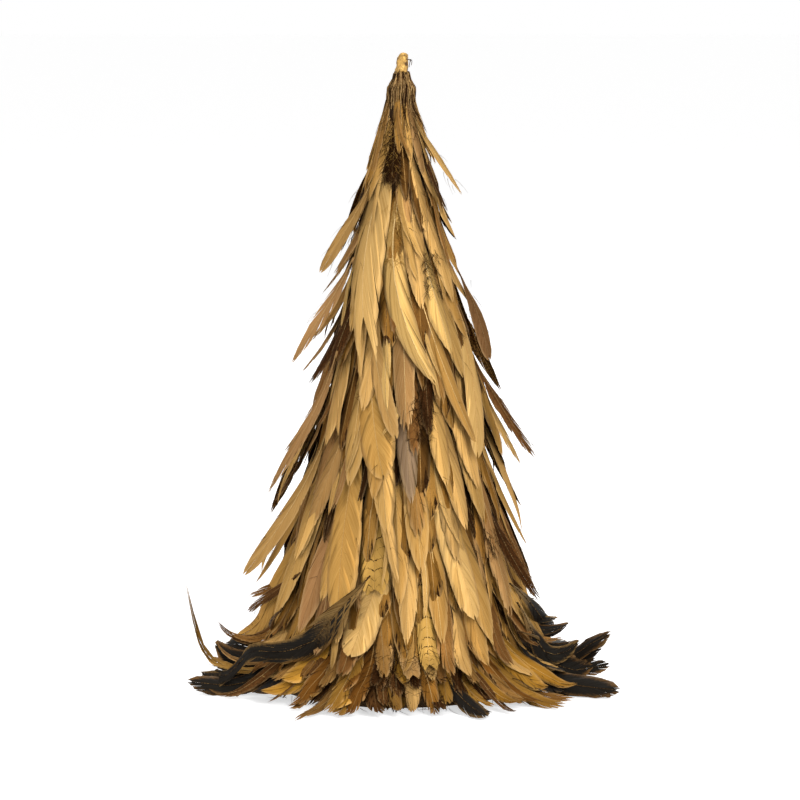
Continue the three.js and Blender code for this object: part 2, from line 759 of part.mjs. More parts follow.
function strayFeather({ shares, edge = 0, back = false, floor = false }) {
  const [rootSide, rootHeight, tipSide, tipHeight, width, bow] = shares;
  const root = seenAt(rootSide * hundredth, rootHeight * hundredth, edge);
  const tip = seenAt(tipSide * hundredth, tipHeight * hundredth, edge);
  const turnedTo = (azimuth) => (back ? Math.PI - azimuth : azimuth);
  const onFloor = floor ? Math.abs(tipSide) * hundredth : 0;
  return {
    root: { azimuth: turnedTo(root.azimuth), length: lengthAtHeight(rootHeight * hundredth) },
    tip: {
      azimuth: turnedTo(tip.azimuth),
      length: floor ? lengthAtReach(onFloor) : lengthAtHeight(tipHeight * hundredth),
    },
    width,
    bow,
    rise: floor ? 0 : layRiseShare,
    lift: floor ? tipHeight * hundredth : tip.beyond,
    seat: tapeThickness,
    sewn: false,
  };
}

// Lowers a glued feather until it is a gap away from the pieces that carry it
function lowerOnto(path, laid) {
  const lowered = (drop) => {
    const stations = path.stations.map((station) => ({ ...station, lift: station.lift - drop }));
    return { ...path, stations };
  };
  const clear = (drop) => {
    const tried = featherSolid(lowered(drop));
    return laid.every((solid) => solid.intersect(tried).isEmpty());
  };
  let drop = 0;
  while (drop < tapeHeight && clear(drop + fitGap)) drop += seatStep;
  return lowered(Math.max(0, drop - seatStep));
}

function rowHeight(row) {
  return topRowHeight - rowPitch * row;
}

// Quills that cross can close off a tiny void, and leave edges shorter than the join is exact to: the outer
// body is kept without them
function wholeBody(joined) {
  const bodies = joined.setTolerance(joinTolerance).decompose();
  return bodies.reduce((whole, body) => (body.volume() > whole.volume() ? body : whole));
}

// Lays a row on those below it, then joins its feathers to their tape as one body
function sewnRow(height, feathers) {
  const paths = feathers.map(featherPath);
  paths.forEach(settle);
  paths.forEach(raiseWith);
  raiseWithTape(height);
  return wholeBody(wasm.Manifold.union([tape(height), ...paths.map(featherSolid)]));
}

function buildTree() {
  const tree = new THREE.Group();
  const rows = new THREE.Group();
  const strays = new THREE.Group();
  tree.add(rows, strays);
  addNode(tree, "cone_shell", coneShell(), cardboard);
  addNode(tree, "base_disc", baseDisc(), cardboard);
  addNode(tree, "tip_cap", tipCap(), tipGold);

  const laid = [];
  const addRow = (name, height, feathers, material) => {
    const solid = sewnRow(height, feathers);
    laid.push(solid);
    addNode(rows, name, solid, material);
  };
  const hem = Array.from({ length: hemCount }, (_, index) => hemFeather(index));
  const lowerSkirt = lowerSkirtShares.map((shares) => skirtFeather(lowerSkirtHeight, shares));
  addRow("skirt_row_lower", lowerSkirtHeight, [...hem, ...lowerSkirt], greenBlack);
  const upperSkirt = upperSkirtShares.map((shares) => skirtFeather(upperSkirtHeight, shares));
  addRow("skirt_row_upper", upperSkirtHeight, upperSkirt, greenBlack);

  const random = seededRandom();
  for (let row = rowCount - 1; row >= 0; row--) {
    const front = (frontRowShares[row] ?? []).map((shares, index) => frontFeather(row, shares, index));
    const name = "feather_row_" + String(row + 1).padStart(2, "0");
    addRow(name, rowHeight(row), [...backFeathers(row, random), ...front], gold);
  }

  for (const [name, spec] of Object.entries(strayFeathers)) {
    const path = featherPath(strayFeather(spec));
    settle(path);
    const seated = lowerOnto(path, laid);
    raiseWith(seated);
    const solid = featherSolid(seated);
    laid.push(solid);
    addNode(strays, name, solid, spec.material);
  }
  return tree;
}

export default buildTree();
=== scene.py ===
"""A table-top tree of gold-sprayed feathers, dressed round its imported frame.

Sizes are in millimetres and meshes in metres, +Z up, and the front faces -Y, as in the frame. A place near
the tree is an azimuth round its axis from the front, a length along the guide and a lift square to it. The
guide is the cone, then an arc, then the floor.
"""
import json
import math
from functools import partial

import bpy
import numpy as np
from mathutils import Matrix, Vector


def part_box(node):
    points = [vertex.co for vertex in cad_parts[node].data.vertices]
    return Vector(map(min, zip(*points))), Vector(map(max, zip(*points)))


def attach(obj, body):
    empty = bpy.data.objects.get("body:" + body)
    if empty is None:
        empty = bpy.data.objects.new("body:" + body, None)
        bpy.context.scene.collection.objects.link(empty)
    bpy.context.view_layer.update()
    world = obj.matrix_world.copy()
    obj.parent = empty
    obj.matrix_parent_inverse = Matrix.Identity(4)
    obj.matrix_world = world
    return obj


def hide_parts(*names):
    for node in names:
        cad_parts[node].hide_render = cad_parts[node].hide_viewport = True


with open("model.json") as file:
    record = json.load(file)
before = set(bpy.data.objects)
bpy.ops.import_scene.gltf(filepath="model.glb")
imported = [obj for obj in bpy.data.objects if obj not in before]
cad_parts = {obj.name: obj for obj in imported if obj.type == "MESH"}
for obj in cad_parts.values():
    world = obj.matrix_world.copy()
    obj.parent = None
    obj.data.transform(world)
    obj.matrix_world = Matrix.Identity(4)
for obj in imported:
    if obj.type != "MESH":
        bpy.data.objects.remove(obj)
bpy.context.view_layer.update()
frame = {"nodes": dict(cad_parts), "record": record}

MM = 0.001
TURN = 2 * math.pi
DEGREE = math.pi / 180

# Sizes read from the frame
CONE_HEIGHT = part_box("cone_shell")[1].z / MM
CONE_BASE_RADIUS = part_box("cone_shell")[1].x / MM
CAP_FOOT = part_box("tip_cap")[0].z / MM
OVERALL_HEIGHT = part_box("tip_cap")[1].z / MM
HUNDREDTH = OVERALL_HEIGHT / 100

# The rows and their tapes
CONE_TOP_RADIUS = 2
FIT_GAP = 0.3
ROW_COUNT = 16
ROW_PITCH = 27
TAPE_HEIGHT = 9
TAPE_THICKNESS = 1.8
TAPE_SEAT = FIT_GAP + TAPE_THICKNESS / 2
TOP_ROW_HEIGHT = CAP_FOOT - FIT_GAP - TAPE_HEIGHT / 2
UPPER_SKIRT_HEIGHT = 61
LOWER_SKIRT_HEIGHT = 50

# One feather
VANE_WIDTH = 28
QUILL_WIDTH = 2.2
VANE_THICKNESS = 1.1
TIP_THICKNESS = 0.6

# How feathers lie on each other
SKIRT_BEND = 60
SKIRT_REACH = 180
LAY_GAP = 0.45
LAY_RISE = 0.12
PILE_GROWTH = 12
PILE_TURNS = 240
SAMPLE_STEP = 2
ROOT_SHARE = 0.6
LAY_PASSES = 10
LEAST_LIFT_OVER_FLOOR = 0.4

# The guide and the pile

CONE_SLOPE = (CONE_BASE_RADIUS - CONE_TOP_RADIUS) / CONE_HEIGHT
CONE_LEAN = math.atan(CONE_SLOPE)
BEND_TURN = math.pi / 2 - CONE_LEAN
BEND_START = CONE_BASE_RADIUS / math.sin(CONE_LEAN) - SKIRT_BEND * math.tan(BEND_TURN / 2)
BEND_END = BEND_START + SKIRT_BEND * BEND_TURN
APEX_HEIGHT = CONE_BASE_RADIUS / math.tan(CONE_LEAN)
ALONG = (math.sin(CONE_LEAN), -math.cos(CONE_LEAN))
OUT = (math.cos(CONE_LEAN), math.sin(CONE_LEAN))
START = (BEND_START * ALONG[0], APEX_HEIGHT + BEND_START * ALONG[1])
CENTRE = (START[0] + SKIRT_BEND * OUT[0], START[1] + SKIRT_BEND * OUT[1])


def on_guide(length, lift):
    """Radius and height: along the cone's slope from its apex, round the arc, then over the floor."""
    angle = CONE_LEAN + (length - BEND_START) / SKIRT_BEND
    reach = SKIRT_BEND - lift
    cone = (length * ALONG[0] + lift * OUT[0], APEX_HEIGHT + length * ALONG[1] + lift * OUT[1])
    arc = (CENTRE[0] - reach * np.cos(angle), CENTRE[1] - reach * np.sin(angle))
    floor = (CENTRE[0] + length - BEND_END, lift)
    places = [length <= BEND_START, length >= BEND_END]
    return [np.select(places, [cone[i], floor[i]], arc[i]) for i in range(2)]


def to_guide(radius, height):
    """Length and lift: on_guide's inverse, by dot products on the cone and an angle on the arc."""
    r, z = radius - START[0], height - START[1]
    past = r * ALONG[0] + z * ALONG[1]
    inward, down = CENTRE[0] - radius, CENTRE[1] - height
    angle = np.arctan2(down, inward) - CONE_LEAN
    places = [past <= 0, radius >= CENTRE[0]]
    length = np.select(places, [BEND_START + past, BEND_END - inward], BEND_START + SKIRT_BEND * angle)
    lift = np.select(places, [r * OUT[0] + z * OUT[1], height], SKIRT_BEND - np.hypot(inward, down))
    return length, lift


def length_at_height(height):
    """Length along the guide where it is a given height over the floor."""
    length = (APEX_HEIGHT - height) / math.cos(CONE_LEAN)
    if length <= BEND_START:
        return length
    return BEND_START + SKIRT_BEND * (math.asin(min(1, (CENTRE[1] - height) / SKIRT_BEND)) - CONE_LEAN)


def length_at_reach(reach):
    """Length along the guide where it is a given distance from the axis."""
    if reach >= CENTRE[0]:
        return BEND_END + reach - CENTRE[0]
    return BEND_START + SKIRT_BEND * (math.acos((CENTRE[0] - reach) / SKIRT_BEND) - CONE_LEAN)


def points_at(azimuth, length, lift):
    """Points in millimetres: radius and height from the guide, turned round the axis from -Y towards +X."""
    radius, height = on_guide(length, lift)
    return np.stack([radius * np.sin(azimuth), -radius * np.cos(azimuth), height + 0 * azimuth], axis=-1)


def cone_radius(height):
    return CONE_BASE_RADIUS - CONE_SLOPE * height


def row_height(row):
    return TOP_ROW_HEIGHT - ROW_PITCH * row


def bare_heights():
    """Lift of the bare cone or floor in each cell: nought, but below the guide along its arc."""
    length = (np.arange(math.ceil((BEND_END + SKIRT_REACH) / SAMPLE_STEP)) + 0.5) * SAMPLE_STEP
    angle = np.clip(CONE_LEAN + (length - BEND_START) / SKIRT_BEND, CONE_LEAN, math.pi / 2)
    radius, height = on_guide(length, 0 * length)
    to_cone = (radius - cone_radius(height)) / (np.cos(angle) + CONE_SLOPE * np.sin(angle))
    bent = (length > BEND_START) & (length < BEND_END)
    return np.where(bent, -np.minimum(height / np.sin(angle), to_cone), 0)


pile = np.tile(bare_heights().astype(np.float32), (PILE_TURNS, 1))


def pile_cells(azimuth, length):
    turn = np.floor(azimuth / TURN * PILE_TURNS).astype(int) % PILE_TURNS
    step = np.clip(np.floor(length / SAMPLE_STEP).astype(int), 0, pile.shape[1] - 1)
    return turn, step


def raise_pile(azimuth, length, lift):
    """Raises the cell of each point, and the eight cells round it, to the point's lift."""
    turn, step = pile_cells(azimuth, length)
    for side in (-1, 0, 1):
        for further in (-1, 0, 1):
            column = np.clip(step + further, 0, pile.shape[1] - 1)
            np.maximum.at(pile, ((turn + side) % PILE_TURNS, column), lift)


# The path of a feather

SHORT_SHARES = ((0, 0), (0.2, 0.7), (0.62, 1), (0.9, 0.66))
LONG_SHARES = ((0, 0), (0.16, 0.55), (0.4, 0.95), (0.66, 1), (0.9, 0.62))
LEFT, TOP, RIGHT, UNDER = range(4)
# Where a cubic stops, as a share of a step: a little past the last station
OVERRUN = 1.1
# How smooth bounds a settled path: the curve's power, a slack in millimetres, and how much of the rise to the
# last station the tip keeps
SMOOTH_POWER = 0.8
SMOOTH_SLACK = 3
TIP_KEEPS = 0.8


class Path:
    """The line of one feather from its root to its tip, and how high it lies at a few stations."""

    def __init__(self, root, tip, width, kind="gold", bow=0, rise=0, lift=0, seat=TAPE_SEAT, sewn=True):
        self.root, self.tip, self.kind, self.sewn, self.bow = root, tip, kind, sewn, bow
        self.roll = 0
        self.width = VANE_WIDTH * width
        self.run = tip[1] - root[1]
        self.swing = float(on_guide(np.array(tip[1]), 0.0)[0]) * (tip[0] - root[0])
        self.reach = math.hypot(self.run, self.swing)
        self.slant = math.atan2(self.swing, self.run)
        bends = tip[1] > BEND_START or not sewn
        shares = np.array([*(LONG_SHARES if bends else SHORT_SHARES), (1, 0)])
        self.shares = shares[:, 0]
        self.halves = (QUILL_WIDTH + (self.width - QUILL_WIDTH) * shares[:, 1]) / 2
        self.halves[-1] = 0
        self.thick = (VANE_THICKNESS + (TIP_THICKNESS - VANE_THICKNESS) * self.shares) / 2
        self.thick[-1] = 0
        self.lifts = seat + rise * self.reach * self.shares + lift * self.shares**2
        self.azimuths, self.lengths = self.place(self.shares)

    def place(self, share):
        """Azimuth and length: straight from root to tip, with a parabola of the bow, turned by the radius."""
        length = self.root[1] + self.run * share
        aside = self.swing * share + self.bow * self.reach * 4 * share * (1 - share)
        return self.root[0] + aside / on_guide(length, 0 * length)[0], length

    def heading(self, share):
        """Angle of the path to the slope: the parabola's slope at that share over the run."""
        return np.arctan2(self.swing + self.bow * self.reach * 4 * (1 - 2 * share), self.run)

    def lift(self, share):
        """Lift: a cubic through the stations, whose slope at each is the mean of its neighbours' chords."""
        chords = np.diff(self.lifts) / np.diff(self.shares)
        slopes = np.concatenate([chords[:1], (chords[1:] + chords[:-1]) / 2, chords[-1:]])
        i = np.clip(np.searchsorted(self.shares, share) - 1, 0, len(chords) - 1)
        step = self.shares[i + 1] - self.shares[i]
        u = np.clip((share - self.shares[i]) / step, 0, OVERRUN)
        return (
            (1 + 2 * u) * (1 - u) ** 2 * self.lifts[i]
            + u * (1 - u) ** 2 * step * slopes[i]
            + u**2 * (3 - 2 * u) * self.lifts[i + 1]
            + u**2 * (u - 1) * step * slopes[i + 1]
        )

    def corners(self, i):
        """Left edge, top, right edge and underside of the section at a station."""
        radius = float(on_guide(self.lengths[i], self.lifts[i])[0])
        sideways = self.halves[i] * math.cos(self.slant) / radius
        lengthways = -self.halves[i] * math.sin(self.slant)
        azimuth = self.azimuths[i] + sideways * np.array([-1, 0, 1, 0])
        length = self.lengths[i] + lengthways * np.array([-1, 0, 1, 0])
        return points_at(azimuth, length, self.lifts[i] + self.thick[i] * np.array([0, 1, 0, -1]))

    def spread(self, i, ridge):
        """Share, azimuth, length and lift of points over one side between stations i and i + 1."""
        near, far = self.corners(i), self.corners(i + 1)
        length_steps = math.ceil(np.linalg.norm(far[ridge] - near[ridge]) / SAMPLE_STEP)
        width = max(np.linalg.norm(near[LEFT] - near[RIGHT]), np.linalg.norm(far[LEFT] - far[RIGHT]))
        cell = np.hypot(*near[ridge][:2]) * TURN / PILE_TURNS
        side_step = min(max(cell, SAMPLE_STEP / 2), SAMPLE_STEP)
        across = np.linspace(0, 1, math.ceil(width / 2 / side_step) + 2)[:, None]
        share = np.linspace(0, 1, length_steps + 1)
        points = []
        for edge in (LEFT, RIGHT):
            start = near[ridge] + (near[edge] - near[ridge]) * across
            end = far[ridge] + (far[edge] - far[ridge]) * across
            points.append(start + (end - start) * share[:, None, None])
        points = np.concatenate(points, axis=1)
        length, lift = to_guide(np.hypot(points[..., 0], points[..., 1]), points[..., 2])
        azimuth = np.arctan2(points[..., 0], -points[..., 1])
        return np.broadcast_to(share[:, None], length.shape), azimuth, length, lift

    def settle(self, gap=LAY_GAP):
        """Lifts the stations until the underside clears the pile. A sewn root stays in its tape."""
        for _ in range(LAY_PASSES):
            moved = False
            for i in range(len(self.shares) - 1):
                share, azimuth, length, lift = self.spread(i, UNDER)
                short = pile[pile_cells(azimuth, length)] + gap - lift
                if self.sewn and i == 0:
                    late = (share > ROOT_SHARE) & (short > 0)
                    near, far = 0, np.max(short[late] / share[late], initial=0)
                else:
                    weight = np.maximum(short, 0) / ((1 - share) ** 2 + share**2)
                    near, far = np.max(weight * (1 - share)), np.max(weight * share)
                self.lifts[i] += near
                self.lifts[i + 1] += far
                moved = moved or near + far > 0
            if not moved:
                return

    def smooth(self, power=SMOOTH_POWER, slack=SMOOTH_SLACK):
        """Takes out kinks: no station stands above a power curve from root to raised tip, plus a slack."""
        root = self.lifts[0]
        if self.lifts[-1] < root:
            return
        tip = max(self.lifts[-1], root + TIP_KEEPS * (self.lifts[-2] - root))
        most = root + max(0, tip - root) * self.shares**power + slack * self.shares
        self.lifts = np.minimum(self.lifts, most)
        self.lifts[-1] = max(self.lifts[-1], tip)

    def load_pile(self):
        for i in range(len(self.shares) - 1):
            _, azimuth, length, lift = self.spread(i, TOP)
            raise_pile(azimuth.ravel(), length.ravel(), lift.ravel())


# The feathers of each row

# Front feathers, the top row first: side of the root, side of the tip and height of the tip in hundredths of
# the overall height, width as a share of the vane's, kind, then bow and extra lift of the tip if any
FRONT_ROWS = (
    (
        (0.9, 3.2, 81, 0.36, "tan"),
        (-1.8, -3.9, 80.5, 0.36, "bronze"),
        (1.4, 5.6, 83, 0.34, "gold", 0.03),
        (-1, -4.4, 83, 0.32, "pale", -0.05),
        (0.3, 1.5, 83, 0.32, "gold"),
    ),
    (
        (-0.6, -1.2, 79.5, 0.48, "dark"),
        (2.2, 7.6, 75.5, 0.34, "dark"),
        (-3, -6.2, 76, 0.4, "gold"),
        (-1.6, -4.2, 77, 0.42, "gold"),
        (0.8, 4.7, 77.7, 0.42, "gold"),
    ),
    (
        (0.3, 1.2, 72, 0.5, "warm"),
        (4.2, 8.2, 74, 0.38, "gold"),
        (-3.6, -7.4, 72.5, 0.45, "tan"),
        (1.6, 3.9, 72.4, 0.5, "gold"),
        (-1.4, -4.2, 51.9, 1.05, "hero", -0.055),
    ),
    (
        (-3, -7, 60, 0.55, "gold"),
        (1.6, 3.1, 60.5, 0.62, "gold"),
        (3, 7.6, 61.5, 0.55, "gold"),
        (-4.4, -10.7, 66, 0.48, "tan"),
        (5.4, 9.2, 71.5, 0.34, "dark"),
        (4.6, 9, 65.7, 0.5, "gold", 0.02),
        (0.2, 5, 48.9, 0.72, "pale", -0.09),
    ),
    (
        (-0.3, -0.6, 56.5, 0.62, "bronze"),
        (-3.6, -6.8, 57, 0.6, "gold"),
        (4.2, 9.6, 56, 0.55, "gold"),
        (-5.8, -12.4, 63.4, 0.45, "bronze"),
        (5.6, 10.9, 61.5, 0.5, "gold"),
        (2.2, 7.3, 53.7, 0.72, "pale"),
    ),
    (
        (-2.4, -2, 55, 0.5, "dark"),
        (4.6, 9.2, 50, 0.6, "gold"),
        (-5, -9.5, 50, 0.6, "dark"),
        (-7.6, -14.3, 55.7, 0.52, "bronze"),
        (-7.2, -9.6, 60.5, 0.42, "bronze"),
        (1.8, 10.9, 39, 0.42, "gold", -0.03),
        (7, 10.6, 37.8, 0.8, "bright", 0.05),
    ),
    (
        (4.4, 6.2, 46, 0.62, "bronze"),
        (-3.2, -5.5, 45, 0.66, "gold"),
        (9, 12.6, 47.3, 0.52, "brown"),
        (-8.6, -15.5, 51, 0.5, "tan"),
        (-7.8, -14.3, 48.9, 0.52, "dark"),
        (0.4, 0.9, 41.7, 0.66, "tan"),
        (-5.2, -0.5, 40.7, 0.5, "slender", -0.02, 0.9),
    ),
    (
        (3.8, 4.4, 41.3, 0.52, "dark"),
        (0.8, 2.4, 38, 0.6, "bronze"),
        (9.9, 15.2, 42, 0.5, "brown"),
        (7.8, 12.4, 39, 0.62, "gold"),
        (-9.6, -14, 41.3, 0.52, "tan"),
        (-8.4, -10.9, 39.7, 0.62, "gold"),
        (-4.6, -2.3, 34.7, 1.05, "round", -0.03),
    ),
    (
        (-2.3, -3.9, 31.5, 0.72, "gold"),
        (4.6, 7, 33.5, 0.62, "gold"),
        (7.8, 11.6, 33, 0.62, "gold"),
        (10.1, 15.5, 35.5, 0.52, "brown"),
        (-11.6, -18, 38.5, 0.45, "tan"),
        (-10.9, -15.5, 36.7, 0.55, "gold"),
        (-6.2, -7.5, 33.5, 0.72, "gold"),
        (0.3, 1.7, 30.9, 0.62, "grey"),
    ),
    (
        (-3.9, -1.9, 26.1, 0.7, "gold"),
        (1.6, 2.8, 25.5, 0.7, "bronze"),
        (12.6, 18.2, 30, 0.5, "gold"),
        (9.3, 12.4, 28, 0.62, "gold"),
        (-12.4, -19.4, 30.2, 0.34, "brown"),
        (-9.6, -12.7, 31, 0.6, "tan"),
        (6.2, 9.8, 26.8, 0.6, "gold"),
        (-7.4, -12.9, 28.2, 0.62, "blunt"),
    ),
    (
        (7, 8.5, 22, 0.62, "gold"),
        (-13, -18.5, 24, 0.5, "tan"),
        (-10.9, -15.5, 22, 0.62, "gold"),
        (13.6, 18.8, 24, 0.5, "gold"),
        (10.9, 14.8, 22, 0.62, "tan"),
        (2.3, 3.1, 20.3, 0.76, "gold"),
        (-5, -0.3, 18.8, 0.42, "gold"),
        (-7, -8.9, 13.6, 0.98, "round", -0.02),
    ),
    (
        (-0.8, 0, 15.5, 0.62, "gold"),
        (14.8, 20, 17.5, 0.5, "brown"),
        (-14, -21.4, 18, 0.52, "gold"),
        (-7.8, -11.7, 16, 0.72, "gold"),
        (7.6, 9.2, 14.5, 0.66, "gold"),
        (-11.7, -18.2, 12.7, 0.72, "gold"),
        (13, 16, 13.2, 0.62, "tan"),
        (4.4, 11, 13.3, 0.82, "bright", 0.02),
    ),
    (
        (4.6, 6.4, 9.5, 0.66, "gold"),
        (-7.6, -9.4, 9.5, 0.7, "gold"),
        (14, 17.9, 11.5, 0.62, "gold"),
        (-10.1, -15, 11.1, 0.72, "rose"),
        (1.6, 0.9, 9.5, 0.6, "gold"),
        (-12.4, -21.5, 5.5, 0.74, "round"),
        (8.6, 13.5, 9.8, 0.74, "gold"),
        (-4.4, -3.9, 17, 0.85, "crazed"),
    ),
    (
        (-10.9, -12.7, 7, 0.72, "rose"),
        (14.8, 18.6, 8.5, 0.58, "bronze"),
        (-15.5, -20, 9.5, 0.62, "gold"),
        (10.1, 12.7, 4.8, 0.62, "gold"),
        (6.2, 7.3, 3, 0.62, "bronze"),
        (-0.8, -7.5, 7, 0.95, "bright", -0.02),
        (3.9, 4.4, 4.3, 0.74, "crazed"),
    ),
    (
        (-3.9, -2.3, 3.3, 0.58, "bronze"),
        (3.9, 4.7, 2.8, 0.58, "gold"),
        (13.2, 16.3, 4.8, 0.62, "bronze"),
        (-16.8, -21.4, 7.5, 0.62, "gold"),
        (16.3, 21, 7, 0.55, "bronze"),
        (-12.4, -17, 4.8, 0.72, "gold"),
        (8.6, 10, 3.3, 0.62, "gold"),
        (-7, -8.5, 3.3, 0.72, "bronze"),
        (-1.2, 2, 3, 0.55, "blunt"),
    ),
    (
        (1.6, 2.3, 1.8, 0.5, "dark"),
        (-14, -17, 2.4, 0.5, "bronze"),
        (5.4, 6.2, 2.6, 0.5, "bronze"),
        (14, 18, 3, 0.5, "gold"),
        (-1.6, -3.9, 2.2, 0.45, "dark"),
        (9.3, 10.9, 2.4, 0.5, "bronze"),
        (-8.5, -10.9, 1.8, 0.5, "bronze"),
        (-18, -23, 5, 0.5, "gold"),
    ),
)

# Skirt feathers: azimuth of the root and of the tip in degrees, reach of the tip as a share of the skirt's,
# its height in hundredths, width as a share of the vane's, and kind
LOWER_SKIRT = (
    (-72, -86, 0.82, 1.2, 0.6, "cock"),
    (-60, -71, 0.88, 0.6, 0.4, "cock"),
    (-40, -52, 0.72, 0.6, 0.5, "bronze"),
    (-24, -29, 0.86, 0.5, 0.42, "bronze"),
    (-4, -8, 0.62, 0.6, 0.45, "dark"),
    (18, 27, 0.85, 0.5, 0.42, "cock"),
    (36, 44, 0.72, 0.6, 0.45, "bronze"),
    (50, 55, 0.92, 0.6, 0.5, "bronze"),
    (64, 70, 1, 1, 0.5, "cock"),
    (80, 84, 0.82, 1, 0.5, "bronze"),
    (98, 94, 0.93, 1.4, 0.42, "cock"),
    (116, 122, 0.86, 1, 0.5, "cock"),
    (138, 146, 0.95, 0.8, 0.45, "bronze"),
    (160, 166, 0.82, 0.6, 0.5, "cock"),
    (184, 180, 0.92, 0.8, 0.45, "bronze"),
    (206, 212, 0.84, 0.6, 0.5, "cock"),
    (228, 236, 0.96, 0.8, 0.5, "bronze"),
    (250, 256, 0.86, 1.4, 0.45, "cock"),
)
UPPER_SKIRT = (
    (-80, -92, 0.84, 3.5, 0.4, "bronze"),
    (-66, -78, 0.7, 3, 0.55, "cock"),
    (-50, -60, 0.66, 2, 0.5, "gold"),
    (-32, -36, 0.64, 1.5, 0.45, "bronze"),
    (-14, -18, 0.66, 1.5, 0.45, "bronze"),
    (8, 10, 0.6, 1.5, 0.45, "dark"),
    (28, 34, 0.66, 1.5, 0.45, "bronze"),
    (46, 56, 0.64, 2, 0.5, "bronze"),
    (60, 70, 0.7, 3, 0.5, "gold"),
    (78, 84, 0.8, 3.5, 0.55, "cock"),
    (100, 98, 0.76, 4, 0.45, "cock"),
    (126, 132, 0.8, 3, 0.5, "bronze"),
    (150, 156, 0.7, 3, 0.45, "cock"),
    (174, 170, 0.78, 3, 0.5, "bronze"),
    (198, 202, 0.7, 3, 0.45, "cock"),
    (220, 228, 0.8, 3, 0.5, "bronze"),
    (242, 250, 0.74, 4, 0.45, "cock"),
)

# Short feathers that hide the cone's foot
HEM_COUNT = 20
HEM_WIDTH = 0.62
HEM_SWING = 4
HEM_TIP_RADIUS = 102
HEM_TIP_HEIGHT = 3.5

# Glued feathers: side and height of the root, side and height of the tip in hundredths, width as a share of
# the vane's, bow as a share of the length, kind, and then which edge angle it turns round, and whether it
# lies on the floor or behind
STRAYS = {
    "coque_left_long": ((-4.5, 20, -32.4, 1.6, 0.72, 0.13), "sickle", dict(floor=True)),
    "coque_left_oval": ((-17.5, 13, -29.5, 5, 0.5, 0.02), "cock", dict(edge=1, floor=True)),
    "coque_left_curl": ((-17, 10, -34.4, 11, 0.26, 0.02), "curl", dict(floor=True)),
    "coque_left_raised": ((-15.5, 19, -24, 13.6, 0.3, 0.03), "brown", dict(edge=1)),
    "coque_right_raised": ((17, 14, 27.4, 7, 0.5, -0.03), "cock", dict(floor=True)),
    "coque_right_tip": ((16.5, 10, 33.6, 7, 0.3, 0.03), "cock", dict(edge=1, floor=True)),
    "coque_right_fan": ((16.5, 17, 23.5, 9, 0.4, 0.04), "cock", dict(edge=1)),
    "stray_left_low": ((-11.7, 41, -23.6, 19.5, 0.5, 0.05), "slender", {}),
    "stray_right_low": ((13.7, 30, 18.4, 15.3, 0.38, -0.05), "dark", {}),
    "stray_left_lower": ((-8.2, 53.5, -18.6, 32.1, 0.5, 0.08), "spear", {}),
    "stray_right_thin": ((12.2, 46.5, 18.5, 36.8, 0.34, -0.08), "lance", {}),
    "stray_right_forked": ((10.9, 53, 20, 37.3, 0.45, -0.03), "brown", {}),
    "stray_left_long": ((-6, 68, -15.2, 52, 0.5, 0.05), "spear", {}),
    "stray_right_dark": ((8.4, 66, 12.6, 52.6, 0.46, 0.01), "drooping", {}),
    "stray_left_upper": ((-3.9, 80, -10.9, 66, 0.34, 0.04), "slender", {}),
    "stray_right_upper": ((1.8, 90.5, 8.2, 77.9, 0.26, 0), "lance", {}),
    "stray_back_upper": ((-1.8, 86, -7.5, 68, 0.4, 0), "gold", dict(back=True)),
    "stray_back_middle": ((6, 66, 14.5, 45, 0.5, 0), "pale", dict(back=True)),
    "stray_back_lower": ((-9, 47, -19.5, 25, 0.5, 0), "gold", dict(back=True)),
}

# Degrees from the front past which feathers stand at the sides, by turns
EDGE_ANGLES = (78, 97, 67, 105)


def dressed_radius(height):
    below = max(0, OVERALL_HEIGHT - height)
    return cone_radius(height) + CONE_TOP_RADIUS + PILE_GROWTH * below / OVERALL_HEIGHT


def seen_at(side, height, turn):
    """Azimuth whose sine is side over radius; past an edge angle, that angle and the lift still missing."""
    radius = dressed_radius(height)
    edge = EDGE_ANGLES[turn % len(EDGE_ANGLES)] * DEGREE
    share = side / radius
    if abs(share) < min(math.sin(edge), math.sin(EDGE_ANGLES[0] * DEGREE)):
        return math.asin(share), 0
    return math.copysign(edge, side), max(0, abs(side) / math.sin(edge) - radius)


CAMERA_RISE = 9 * DEGREE
LEAST_SINE = 0.3


def lowered(height, side, azimuth):
    """Height of a place seen from a little above: less by its distance behind the front, times a tangent."""
    back = abs(side) / max(math.sin(abs(azimuth)), LEAST_SINE) * (1 - math.cos(azimuth))
    return height - math.tan(CAMERA_RISE) * back


LEAST_TIP_HEIGHT = 2


def front_paths(row):
    height = row_height(row)
    paths = []
    for index, (root_side, tip_side, tip_height, width, kind, *rest) in enumerate(FRONT_ROWS[row]):
        bow, lift = [*rest, 0, 0][:2]
        root, _ = seen_at(root_side * HUNDREDTH, height, row + index)
        tip, beyond = seen_at(tip_side * HUNDREDTH, tip_height * HUNDREDTH, row + index)
        tip_height = max(LEAST_TIP_HEIGHT, lowered(tip_height * HUNDREDTH, tip_side * HUNDREDTH, tip))
        ends = (root, length_at_height(height)), (tip, length_at_height(tip_height))
        paths.append(Path(*ends, width, kind, bow, LAY_RISE, beyond + lift * HUNDREDTH))
    return paths


# The feathers behind, as the frame draws them
RANDOM_SEED = 7
RANDOM_FACTOR = 16807
RANDOM_MODULUS = 2147483647
LEAST_BACK_COUNT = 3
BACK_WIDTH = 0.72
BACK_SPREAD = 1.15
FIRST_BACK_ANGLE = 93
FIRST_BACK_LENGTH = 66
BACK_LENGTH_GROWTH = 72
ROOT_STRAY = 0.6
TIP_STRAY = 0.7
LENGTH_VARY = 0.4
WIDTH_VARY = 0.5
BACK_BOW = 0.08
BACK_LIFT = 0.35
LOWEST_BENDS = (0.35, 0.55)
BACK_KINDS = ("gold", "gold", "pale", "tan", "gold", "bronze", "round", "brown")
# Steps through the kinds from feather to feather and from row to row
KIND_STEPS = (3, 5)


